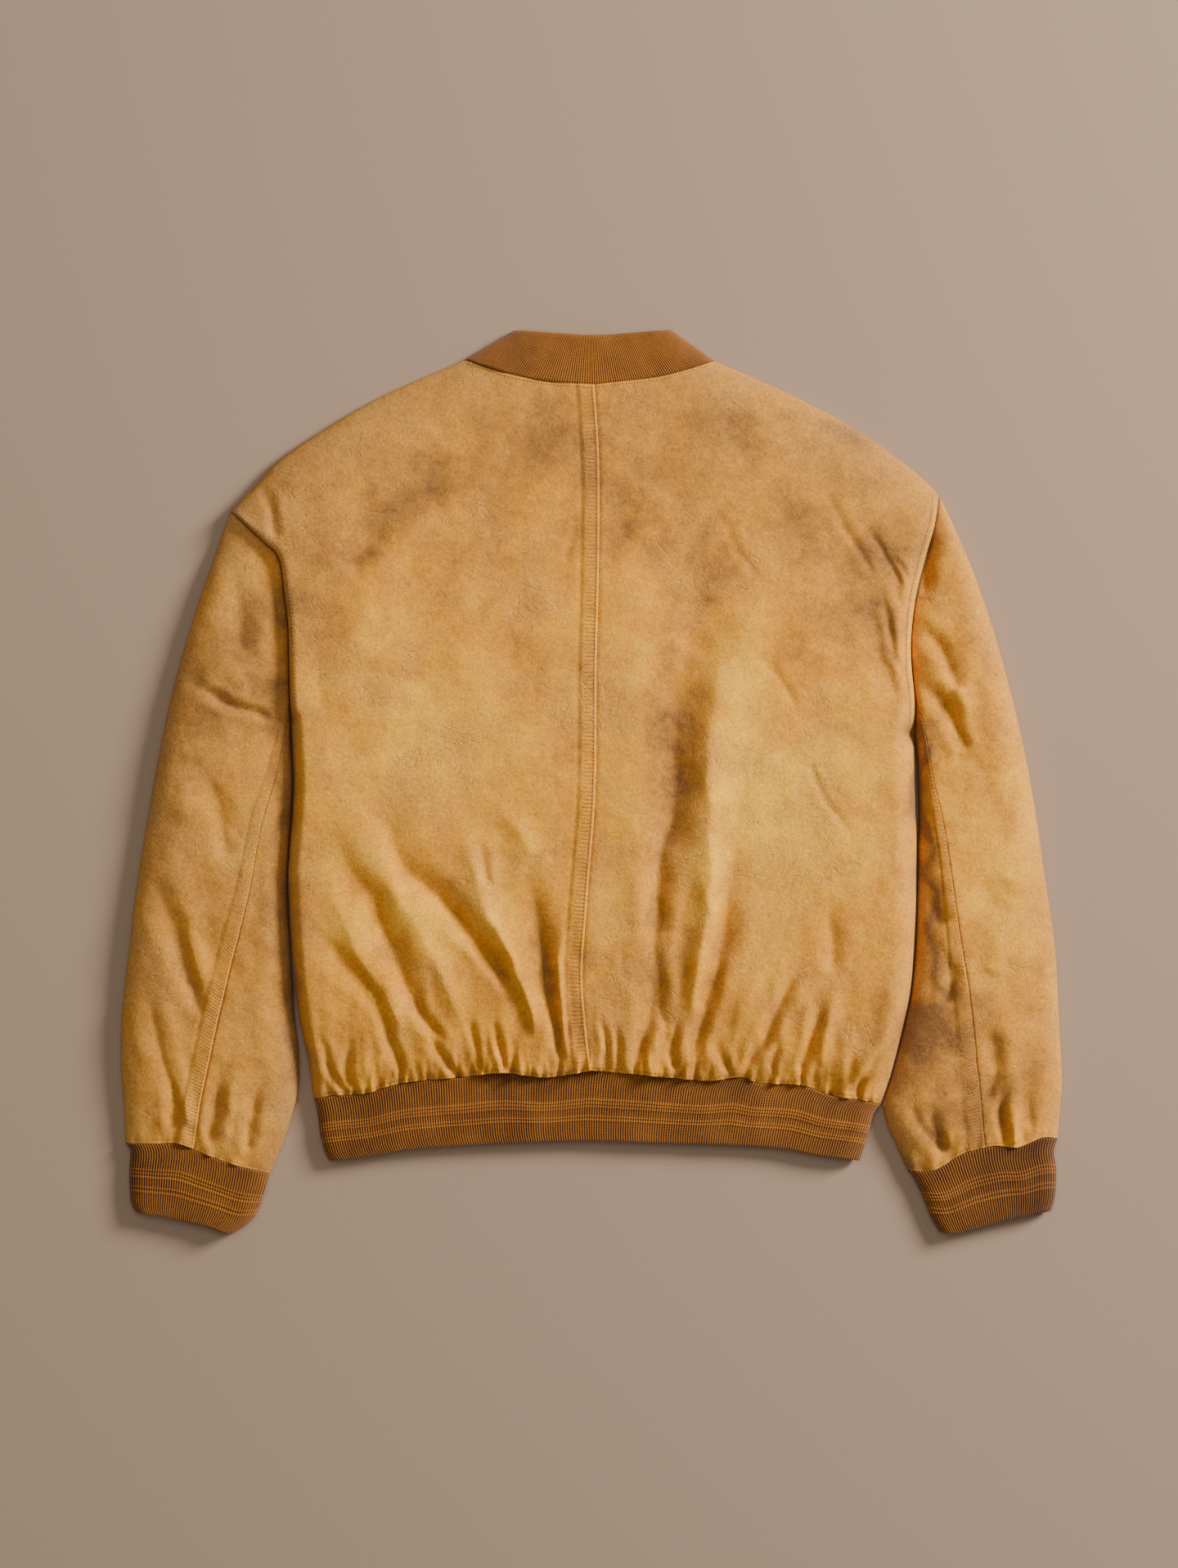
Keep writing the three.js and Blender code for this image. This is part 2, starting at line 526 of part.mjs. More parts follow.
function makeFront(half) {
  const gap = SEAM_GAP / 2;
  const lapX = -half.turn * LAP_HALF;
  const hemStart = new THREE.Vector2(lapX, half.hem[0][1] + gap);
  const neckStart = new THREE.Vector2(lapX, half.frontNeck[0][1] - gap);
  const centre = new Edge([[hemStart.toArray(), neckStart.toArray()], half.outline.spans]);
  const hem = Edge.through([hemStart, ...half.hemEdge.shifted(0, gap).ended(false, ...half.side[0]).points]);
  const neck = half.frontNeckEdge.shifted(0, -gap).ended(false, ...half.shoulder[0]);
  const top = Edge.through([neckStart, ...neck.points, ...half.shoulderEdge.points.slice(1)]);
  const shares = gridShares(top, 1, half.hemEdge.length, true);
  const columns = shares.flatMap((s, i) => (i && i <= 3 ? [(shares[i - 1] + s) / 2, s] : [s]));
  const rows = gridShares(half.outline, 1, centre.length, true);
  return panelWall(half, [hem, top, centre, half.outline], (NECK_SPANS + 1) / top.spans, -1,
    (x, y) => frontHeight(half, x, y), rows, () => columns);
}

// Plan and heights of a sleeve; s runs from its outer edge to its inner edge, v from armhole to cuff
function sleeveForm(half) {
  const gap = SEAM_GAP / 2;
  const armhole = half.armholeEdge.reversed().moved(() => -half.turn * SEAM_GAP);
  const cuff = half.cuffEdge.shifted(0, gap);
  const beside = half.sideEdge.reversed().moved((share) => -half.turn * lookUp(half.clearance, share));
  const outerTable = [armhole.at(0).toArray(), ...half.sleeveOuter.slice(1)];
  const innerTable = [armhole.at(1).toArray(), ...beside.points.slice(1).map((point) => point.toArray()),
    ...half.sleeveEnd.slice(1)];
  const outer = new Edge([outerTable, SLEEVE_SPANS]).ended(false, ...cuff.at(0).toArray());
  const inner = new Edge([innerTable, SLEEVE_SPANS]).ended(false, ...cuff.at(1).toArray());
  const plan = panelPlan(armhole, cuff, outer, inner);
  const width = (v) => Math.hypot(...[0, 1].map((axis) => plan(1, v)[axis] - plan(0, v)[axis]));
  const rise = (s, v, roll) => roundRise(Math.min(s, 1 - s) * width(v) / roll);
  const upper = (s, v) => {
    const [x, y] = plan(s, v);
    const loft = lookUp(SLEEVE_LOFT, v) - FOLD_HEIGHT + foldRelief(half.folds, x, y);
    return new THREE.Vector3(x, y, FOLD_HEIGHT + loft * rise(s, v, SLEEVE_ROLL));
  };
  const lower = (s, v) => {
    const [x, y] = plan(s, v);
    return new THREE.Vector3(x, y, FOLD_HEIGHT * (1 - rise(s, v, UNDER_ROLL)));
  };
  return { plan, width, upper, lower, foldEnds: [armhole.at(0), armhole.at(1), cuff.at(0), cuff.at(1)] };
}

// Shares from an edge fold (0) to a seam: fine near the fold, and the seam points of a sleeve's end rows
function sleeveShares(seam, width, spacing, ownPoints) {
  const fine = EDGE_STEPS.map((distance) => distance / width)
    .filter((share) => share < seam - SEAM_CLEAR / width);
  const last = fine.at(-1) ?? 0;
  const count = Math.max(1, Math.round((seam - last) * width / spacing));
  const even = Array.from({ length: count }, (_, i) => last + (seam - last) * (i + 1) / count);
  const kept = ownPoints.length ? [...fine, seam] : [...fine, ...even];
  const near = NEAR_GRID / width;
  const added = ownPoints.filter((share) => share > near && share < seam - near);
  return [...kept.filter((share) => added.every((own) => Math.abs(own - share) > near)), ...added]
    .sort((a, b) => a - b);
}

// One piece of a sleeve: from the hidden seam, round one edge (0 outer, 1 inner), to the back seam
function makeSleevePiece(half, edge) {
  const { plan, width, upper, lower, foldEnds } = sleeveForm(half);
  const toShare = (share) => (edge ? 1 - share : share);
  const rows = [];
  for (let r = 0; r <= SLEEVE_SPANS; r++) {
    const v = r / SLEEVE_SPANS;
    const atEnd = r === 0 || r === SLEEVE_SPANS;
    const seamSpans = r === 0 ? ARMHOLE_SPANS : CUFF_SPANS;
    const ownPoints = atEnd ? Array.from({ length: seamSpans - 1 }, (_, i) => (i + 1) / seamSpans) : [];
    const gap = SEAM_GAP / 2 / width(v);
    const layer = (surface, seam, spacing, facing) => {
      const shares = sleeveShares(seam, width(v), spacing, ownPoints);
      return shares.map((share) => {
        const s = toShare(share);
        const point = atEnd || share === seam
          ? seamPoint(surface(s, v), SUEDE_WALL, facing, foldEnds)
          : wallPoint(surface, s, v, SUEDE_WALL, facing);
        return { share: facing * share / seam, ...point };
      });
    };
    const under = layer(lower, toShare(SLEEVE_FRONT_SEAM) - gap, SLEEVE_UNDER_STEP, -1);
    const over = layer(upper, toShare(lookUp(half.seamAt, v)) - gap, SLEEVE_STEP, 1);
    const [x, y] = plan(toShare(0), v);
    const fold = foldPoint(new THREE.Vector3(x, y, FOLD_HEIGHT), plan(toShare(INWARD_SHARE), v), SUEDE_WALL);
    rows.push([...under.reverse(), { share: 0, ...fold }, ...over]);
  }
  return wallGeometry(rows);
}

function purlRelief(depth) {
  return Math.max(0, ...PURL_ROWS.map((row) => PURL_HEIGHT * (1 - Math.abs(depth - row) / PURL_HALF)));
}

// Depth shares of a band's rows: one on each purl row and one on both of its sides
function bandDepths() {
  const depths = PURL_ROWS.flatMap((row) => [row - PURL_HALF, row, row + PURL_HALF]);
  return [...new Set([0, ...depths, 1].map((depth) => depth.toFixed(3)))].map(Number).sort((a, b) => a - b);
}

// A knit band that lies flat as a ring: an upper and a lower layer joined at both side folds
function makeBand(seam, end, near, far, heights, columns) {
  const plan = panelPlan(seam, end, near, far);
  const seamShares = Array.from({ length: seam.spans - 1 }, (_, i) => (i + 1) / seam.spans);
  return wallGeometry(bandDepths().map((v) => {
    const a = plan(0, v);
    const b = plan(1, v);
    const width = Math.hypot(b[0] - a[0], b[1] - a[1]);
    const height = heights[0] + (heights[1] - heights[0]) * v;
    const edges = BAND_EDGE_STEPS.map((distance) => distance / width);
    const layer = (upper) => {
      const count = upper ? columns : Math.ceil(columns / 2);
      const first = edges.at(-1);
      const even = Array.from({ length: count - 1 }, (_, i) => first + (1 - 2 * first) * (i + 1) / count);
      const shares = [...edges, ...(v === 0 ? seamShares : even), ...edges.map((share) => 1 - share)];
      return shares.sort((one, other) => one - other).map((share) => {
        const [x, y] = plan(share, v);
        const roll = Math.min(share, 1 - share) * width / (upper ? BAND_ROLL : UNDER_ROLL);
        const rise = roundRise(roll);
        const z = upper ? BAND_FOLD_HEIGHT + (height - BAND_FOLD_HEIGHT) * rise
          : BAND_FOLD_HEIGHT * (1 - rise);
        const tilt = Math.acos(Math.min(1, rise));
        const [towardsX, towardsY] = plan(share + (share < 0.5 ? INWARD_SHARE : -INWARD_SHARE), v);
        const offset = new THREE.Vector3(towardsX - x, towardsY - y, 0).setLength(Math.sin(tilt) * RIB_WALL);
        offset.z = Math.cos(tilt) * (upper ? -RIB_WALL : RIB_WALL);
        const plain = new THREE.Vector3(x, y, z);
        const outer = plain.clone().add(new THREE.Vector3(0, 0, upper ? purlRelief(v) * rise : 0));
        return { share: upper ? share / 2 : 1 - share / 2, outer, inner: plain.add(offset) };
      });
    };
    const fold = (share) => {
      const [x, y] = plan(share, v);
      const onFold = new THREE.Vector3(x, y, BAND_FOLD_HEIGHT);
      const towards = plan(share ? 1 - INWARD_SHARE : INWARD_SHARE, v);
      return { share: share / 2, ...foldPoint(onFold, towards, RIB_WALL) };
    };
    return [fold(0), ...layer(true), fold(1), ...layer(false).reverse()];
  }), true);
}

// A band's side edges, with their first point moved onto the band's own side of the seam
function bandSide(table) {
  const [[x, y], ...rest] = table;
  return new Edge([[[x, y - SEAM_GAP / 2], ...rest], table.length]);
}

function makeCuff(half) {
  const seam = half.cuffEdge.shifted(0, -SEAM_GAP / 2);
  return makeBand(seam, new Edge([half.cuffEnd, CUFF_SPANS]), bandSide(half.cuffOuter),
    bandSide(half.cuffInner), CUFF_HEIGHTS, CUFF_COLUMNS);
}

function makeHemBand() {
  const [left, right] = [HALVES.left.hemEdge, HALVES.right.hemEdge];
  const seam = Edge.through([...left.reversed().points, ...right.points.slice(1)]).shifted(0, -SEAM_GAP / 2);
  return makeBand(seam, new Edge([BAND_END, seam.spans]), bandSide(BAND_SIDE_LEFT), bandSide(BAND_SIDE_RIGHT),
    HEM_BAND_HEIGHTS, HEM_BAND_COLUMNS);
}

// The collar runs from the centre front, round the neck below, over the back neck and down again
function makeCollar() {
  const gap = SEAM_GAP / 2;
  const { left, right } = HALVES;
  const backNeck = Edge.through([...left.neckEdge.reversed().points, ...right.neckEdge.points.slice(1)]);
  const parts = [
    { seam: left.frontNeckEdge, top: new Edge([COLLAR_FRONT_TOP_LEFT, NECK_SPANS]), toCentre: -1 },
    { seam: backNeck, top: new Edge([COLLAR_TOP, backNeck.spans]), toCentre: 0 },
    { seam: right.frontNeckEdge.reversed(), top: new Edge([COLLAR_FRONT_TOP_RIGHT, NECK_SPANS]).reversed(),
      toCentre: 1 },
  ];
  const up = new THREE.Vector3(0, 0, RIB_WALL);
  return wallGeometry(COLLAR_DEPTHS.map((v) => parts.flatMap(({ seam, top, toCentre }, part) => {
    const count = seam.spans * COLLAR_SPLITS;
    const row = [];
    for (let i = 0; i <= count; i++) {
      const share = i / count;
      const point = seam.at(share).lerp(top.at(share), v);
      const position = new THREE.Vector3(point.x, point.y + gap * (1 - v), 0);
      const isFold = toCentre === 0 && (i === 0 || i === count);
      const fromFold = toCentre < 0 ? 1 - share : share;
      if (toCentre === 0) {
        const rise = roundRise(Math.min(share, 1 - share) / COLLAR_ROLL);
        position.z = COLLAR_FOLD_HEIGHT + (COLLAR_HEIGHT - COLLAR_FOLD_HEIGHT - COLLAR_FALL * v) * rise;
      } else {
        if (fromFold === 0) continue;
        if (fromFold === 1) position.x += toCentre * COLLAR_FRONT_GAP;
        position.z = COLLAR_FOLD_HEIGHT * (1 - roundRise(fromFold / COLLAR_ROLL)) / 2;
      }
      const inner = position.clone().addScaledVector(up, toCentre === 0 ? -1 : 1);
      if (isFold) inner.copy(foldPoint(position, [0, position.y], RIB_WALL).inner);
      row.push({ share: part + share, outer: position, inner });
    }
    return row;
  })));
}

function makeButton() {
  const disc = new THREE.CylinderGeometry(BUTTON_RADIUS, BUTTON_RADIUS, BUTTON_THICK, BUTTON_SIDES);
  return disc.rotateX(Math.PI / 2);
}

const group = new THREE.Group();

function addMesh(name, geometry, material) {
  const mesh = new THREE.Mesh(geometry, material);
  mesh.name = name;
  group.add(mesh);
  return mesh;
}

for (const [name, half] of Object.entries(HALVES)) {
  addMesh(`back_${name}`, makeBack(half), SUEDE);
  addMesh(`front_${name}`, makeFront(half), SUEDE);
  addMesh(`sleeve_${name}_top`, makeSleevePiece(half, 0), SUEDE);
  addMesh(`sleeve_${name}_under`, makeSleevePiece(half, 1), SUEDE);
  addMesh(`cuff_${name}`, makeCuff(half), KNIT);
}
addMesh('hem_band', makeHemBand(), KNIT);
addMesh('collar', makeCollar(), KNIT);
for (let i = 0; i < BUTTON_COUNT; i++) {
  const button = addMesh(`button_${i + 1}`, makeButton(), HORN);
  button.position.set(0, BUTTON_TOP_Y - i * BUTTON_PITCH, LAP_LIFT - SEAM_GAP - BUTTON_THICK / 2);
}

export default group;
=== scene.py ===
# %% [markdown]
# A suede blouson lies face down on a plain surface, so its back is up and its collar is at the top of the
# picture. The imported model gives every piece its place. This script loads it first, keeps its box, and then
# makes each piece again with a finer surface in the same frame.

# %% Load the frame
import math

import bmesh
import bpy
import numpy as np
from mathutils import Matrix, Vector


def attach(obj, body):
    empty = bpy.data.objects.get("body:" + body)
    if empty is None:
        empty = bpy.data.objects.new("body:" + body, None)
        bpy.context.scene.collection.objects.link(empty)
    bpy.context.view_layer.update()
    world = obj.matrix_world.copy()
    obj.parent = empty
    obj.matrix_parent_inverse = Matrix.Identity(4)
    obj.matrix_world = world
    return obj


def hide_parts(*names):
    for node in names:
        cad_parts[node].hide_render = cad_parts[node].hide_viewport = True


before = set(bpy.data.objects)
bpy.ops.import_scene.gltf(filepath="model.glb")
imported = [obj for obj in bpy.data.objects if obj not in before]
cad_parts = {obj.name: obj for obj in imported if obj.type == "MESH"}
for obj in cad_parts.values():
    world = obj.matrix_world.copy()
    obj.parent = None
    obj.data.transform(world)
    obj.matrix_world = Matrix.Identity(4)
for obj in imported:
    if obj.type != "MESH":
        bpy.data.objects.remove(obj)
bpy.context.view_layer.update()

# %% [markdown]
# A jacket's pieces are cut from flat skins, so each is described by the curves that it is cut along. The
# tables below are in millimetres, seen from above, with +Y towards the collar. Smooth curves go through
# them, and neighbouring pieces use the same curve, which is why their seams meet.

# %% Units and small helpers
MM = 0.001
SEED = 11
CURVE_STEPS = 40
EVEN_SAMPLES = 160


def clamp01(value):
    return np.clip(value, 0.0, 1.0)


def round_rise(share):
    """Rises from 0 to 1 like a quarter of an ellipse, as a fold of thick cloth does."""
    return np.sqrt(1 - (1 - clamp01(share)) ** 2)


def soft_step(share):
    share = clamp01(share)
    return share * share * (3 - 2 * share)


def fade(distance, reach):
    """Falls from 1 at no distance towards 0."""
    return np.exp(-distance / reach)


def bell(distance, half):
    """1 where the distance is 0, fading smoothly on both sides."""
    return np.exp(-((distance / half) ** 2))


def run_along(points):
    """How far along a line each of its points lies."""
    return np.concatenate([[0], np.cumsum(np.linalg.norm(np.diff(points, axis=0), axis=1))])


def evenly(points, samples):
    """The same line in plan, with its points at equal distances."""
    run = run_along(points)
    wanted = np.linspace(0, run[-1], samples + 1)
    return np.column_stack([np.interp(wanted, run, points[:, axis]) for axis in (0, 1)])


def smooth_line(table, samples):
    """Points at equal distances along a smooth curve through the table's points."""
    points = np.array(table, float)
    last = len(points) - 1
    reach = np.linspace(0, last, CURVE_STEPS * last + 1)
    i = np.minimum(reach.astype(int), last - 1)
    t = (reach - i)[:, None]
    before, a = points[np.maximum(i - 1, 0)], points[i]
    b, after = points[i + 1], points[np.minimum(i + 2, last)]
    leave, arrive = (b - before) / 2, (after - a) / 2
    cubic = 2 * a - 2 * b + leave + arrive
    square = 3 * b - 3 * a - 2 * leave - arrive
    return evenly(cubic * t**3 + square * t**2 + leave * t + a, samples)


def smooth_value(table, key):
    line = smooth_line(table, 60)
    return np.interp(key, line[:, 0], line[:, 1])


print("a round edge has risen to", round(float(round_rise(0.5)), 3), "half way in")


# %% Edges and plans
class Edge:
    """A curve in plan. Its share runs from 0 to 1; each part takes as much of it as its weight says."""

    def __init__(self, *parts, samples=24):
        lines = [smooth_line(table, int(weight * samples)) for table, weight in parts]
        self.points = np.concatenate([lines[0]] + [line[1:] for line in lines[1:]])

    @classmethod
    def through(cls, points):
        edge = cls.__new__(cls)
        edge.points = np.array(points, float)
        return edge

    @property
    def length(self):
        return float(run_along(self.points)[-1])

    def at(self, share):
        reach = clamp01(np.asarray(share, float)) * (len(self.points) - 1)
        index = np.arange(len(self.points))
        return np.stack([np.interp(reach, index, self.points[:, axis]) for axis in (0, 1)], axis=-1)

    def nearest(self, plan):
        """For every point of the plan: its distance to the edge, and the share of the edge where that is."""
        distance = np.full(len(plan), np.inf)
        share = np.zeros(len(plan))
        spans = len(self.points) - 1
        for i in range(spans):
            start = self.points[i]
            run = self.points[i + 1] - start
            away = plan - start
            along = clamp01((away @ run) / (run @ run))
            reach = np.hypot(*(away - along[:, None] * run).T)
            closer = reach < distance
            distance = np.where(closer, reach, distance)
            share = np.where(closer, (i + along) / spans, share)
        return distance, share

    def distance(self, plan):
        return self.nearest(plan)[0]

    def moved(self, distance_at):
        """The edge moved sideways, by a distance for every share; positive is to its right."""
        shares = np.linspace(0, 1, len(self.points))
        run = np.gradient(self.points, axis=0)
        run /= np.hypot(run[:, 0], run[:, 1])[:, None]
        away = np.broadcast_to(distance_at(shares), shares.shape)[:, None]
        return Edge.through(self.points + np.column_stack([run[:, 1], -run[:, 0]]) * away)

    def shifted(self, dx, dy):
        return Edge.through(self.points + np.array([dx, dy]))

    def reversed(self):
        return Edge.through(self.points[::-1])

    def even(self):
        return Edge.through(evenly(self.points, EVEN_SAMPLES))


def patch_plan(start, end, near, far):
    """Plan of a four-sided piece: s runs from the near edge to the far one, v from the start to the end."""
    corners = [start.at(0.0), start.at(1.0), end.at(0.0), end.at(1.0)]

    def plan(s, v):
        s = np.asarray(s, float)[:, None]
        v = np.asarray(v, float)[:, None]
        blend = start.at(s[:, 0]) * (1 - v) + end.at(s[:, 0]) * v
        blend += near.at(v[:, 0]) * (1 - s) + far.at(v[:, 0]) * s
        blend -= corners[0] * (1 - s) * (1 - v) + corners[1] * s * (1 - v)
        return blend - corners[2] * (1 - s) * v - corners[3] * s * v

    return plan


LATTICE = 128
NOISE_WEIGHTS, NOISE_TURN, NOISE_SEED_STEP = (1.45, 0.65), 0.6, 50


def soft_noise(plan, wavelength, seed, stretch=1):
    """Smooth unevenness of about one unit: random heights on two turned lattices, joined smoothly."""
    total = np.zeros(len(plan))
    for octave, weight in enumerate(NOISE_WEIGHTS):
        draws = np.random.default_rng(SEED + seed + NOISE_SEED_STEP * octave)
        lattice = draws.normal(size=(LATTICE, LATTICE))
        turn = NOISE_TURN + octave
        x, y = plan[:, 0], plan[:, 1] / stretch
        cell = wavelength / 2**(octave + 1)
        across = (x * math.cos(turn) + y * math.sin(turn)) / cell
        along = (y * math.cos(turn) - x * math.sin(turn)) / cell
        i, j = np.floor(across).astype(int), np.floor(along).astype(int)
        s, t = soft_step(across - i), soft_step(along - j)
        i, j, i_next, j_next = i % LATTICE, j % LATTICE, (i + 1) % LATTICE, (j + 1) % LATTICE
        near = lattice[i, j] * (1 - s) + lattice[i_next, j] * s
        far = lattice[i, j_next] * (1 - s) + lattice[i_next, j_next] * s
        total += weight * (near * (1 - t) + far * t)
    return total


print("noise at three points:", soft_noise(np.array([[0, 0], [20, 0], [40, 0]]), 50, 1).round(2))


# %% Cutting lines
WALL = 2.0
RIB_WALL = 3.0
SEAM_GAP = 0.3
FOLD_HEIGHT = 5.0
UNDER_ROLL, SHOULDER_ROLL, SLEEVE_ROLL = 9, 52, 38
SIDE_ROLL = {"left": 13, "right": 22}
ARMHOLE_ROLL = {"left": 7, "right": 16}
ARMHOLE_HEIGHT = 15
LAP_HALF, LAP_LIFT, LAP_SLOPE = 16, 2.8, 34

CENTRE_BACK = [[0, -248], [-7, -171], [-3, -101], [4, -7], [5, 98], [7, 187], [7, 277], [3, 340]]
HEM = {
    "left": [[0, -248], [-38, -254], [-76, -250], [-110, -254], [-161, -259], [-193, -268], [-220, -270],
             [-238, -273]],
    "right": [[0, -248], [45, -252], [98, -257], [127, -254], [145, -259], [181, -261], [207, -270],
              [233, -274], [249, -278]],
}
NECK = {
    "left": [[3, 340], [-41, 343], [-78, 351], [-109, 362]],
    "right": [[3, 340], [54, 346], [82, 353], [106, 361]],
}
FRONT_NECK = {
    "left": [[3, 282], [-40, 294], [-80, 326], [-109, 362]],
    "right": [[3, 282], [40, 294], [78, 326], [106, 361]],
}
SHOULDER = {
    "left": [[-109, 362], [-177, 332], [-226, 304], [-266, 277], [-293, 249], [-310, 232]],
    "right": [[106, 361], [172, 332], [225, 304], [264, 277], [284, 261], [299, 246]],
}
SIDE = {
    "left": [[-238, -273], [-243, -239], [-252, -195], [-257, -141], [-260, -88], [-259, -60], [-255, 0],
             [-258, 52]],
    "right": [[249, -278], [257, -255], [267, -216], [275, -176], [279, -117], [280, -48], [279, -20],
              [278, 41]],
}
ARMHOLE = {
    "left": [[-258, 52], [-259, 94], [-260, 132], [-263, 158], [-268, 191], [-282, 206], [-310, 232]],
    "right": [[278, 41], [278, 69], [275, 100], [275, 127], [279, 159], [287, 192], [295, 220], [299, 246]],
}
SLEEVE_OUTER = {
    "left": [[-310, 232], [-324, 192], [-343, 136], [-359, 80], [-371, 24], [-381, -32], [-390, -88],
             [-397, -144], [-403, -200], [-404, -242], [-401, -284], [-400, -311]],
    "right": [[299, 246], [324, 192], [344, 136], [360, 80], [373, 24], [383, -32], [391, -88], [399, -144],
              [402, -200], [405, -256], [403, -284], [401, -307]],
}
# How far the sleeve's inner edge leaves the side fold, each row [share of the way down, distance]
SIDE_CLEARANCE = {
    "left": [[0, 0.3], [0.08, 1.6], [0.3, 0.6], [0.7, 2], [0.85, 6], [0.94, 10.5], [1, 16]],
    "right": [[0, 0.3], [0.08, 2], [0.2, 2.6], [0.3, 1], [0.8, 1], [1, 1.5]],
}
SLEEVE_END = {
    "left": [[-253, -275], [-260, -297], [-269, -321], [-276, -337]],
    "right": [[249, -279.5], [255, -297], [263, -314], [272, -334]],
}
CUFF_SEAM = {
    "left": [[-400, -311], [-373, -311], [-353, -311], [-331, -320], [-306, -329], [-276, -337]],
    "right": [[401, -307], [387, -306], [366, -314], [345, -313], [318, -320], [294, -334], [272, -334]],
}
CUFF_END = {
    "left": [[-392, -370], [-366, -374], [-331, -382], [-313, -388], [-299, -384]],
    "right": [[396, -369], [371, -373], [330, -383], [312, -388], [299, -387]],
}
CUFF_OUTER = {
    "left": [[-400, -311], [-396, -319], [-397, -336], [-396, -360], [-392, -370]],
    "right": [[401, -307], [398, -319], [400, -334], [399, -356], [396, -369]],
}
CUFF_INNER = {
    "left": [[-276, -337], [-283, -361], [-289, -375], [-299, -384]],
    "right": [[272, -334], [277, -341], [284, -355], [292, -375], [299, -387]],
}
BAND_SIDE = {
    "left": [[-238, -273], [-235, -286], [-233, -303], [-229, -319], [-225, -326]],
    "right": [[249, -278], [243, -286], [240, -297], [236, -311], [231, -326]],
}
BAND_END = [[-225, -326], [-186, -321], [-157, -316], [-101, -312], [-33, -309], [12, -309], [71, -311],
            [132, -313], [167, -316], [193, -321], [231, -326]]
COLLAR_TOP = [[-66, 388], [-30, 385], [2, 383], [36, 385], [69, 388]]
COLLAR_FRONT_TOP = {
    "left": [[3, 324], [-28, 336], [-52, 362], [-66, 388]],
    "right": [[3, 324], [30, 336], [54, 362], [69, 388]],
}
# Back seam of each sleeve, from the underarm to the cuff
SLEEVE_SEAM = {
    "left": [[-260, 54], [-266, 19], [-276, -17], [-284, -45], [-291, -88], [-299, -122], [-306, -150],
             [-313, -178], [-321, -210], [-327, -242], [-333, -267], [-337, -285], [-339, -300],
             [-340, -317]],
    "right": [[277, 66], [285, 50], [289, 17], [297, -18], [303, -45], [309, -90], [315, -130], [323, -179],
              [329, -227], [333, -251], [333, -274], [335, -293], [338, -313]],
}
SLEEVE_FRONT_SEAM = 0.55

# Heights of the back at y, and of a sleeve at a share of the way to the cuff
BODY_LOFT = [[-280, 14], [-262, 15], [-236, 23], [-170, 30], [-40, 34], [90, 31], [190, 26], [280, 20],
             [345, 15], [365, 15]]
SLEEVE_LOFT = [[0, 15], [0.12, 21], [0.4, 24], [0.75, 22], [0.93, 18], [1, 14]]

print("cutting lines for", len(HEM), "halves")
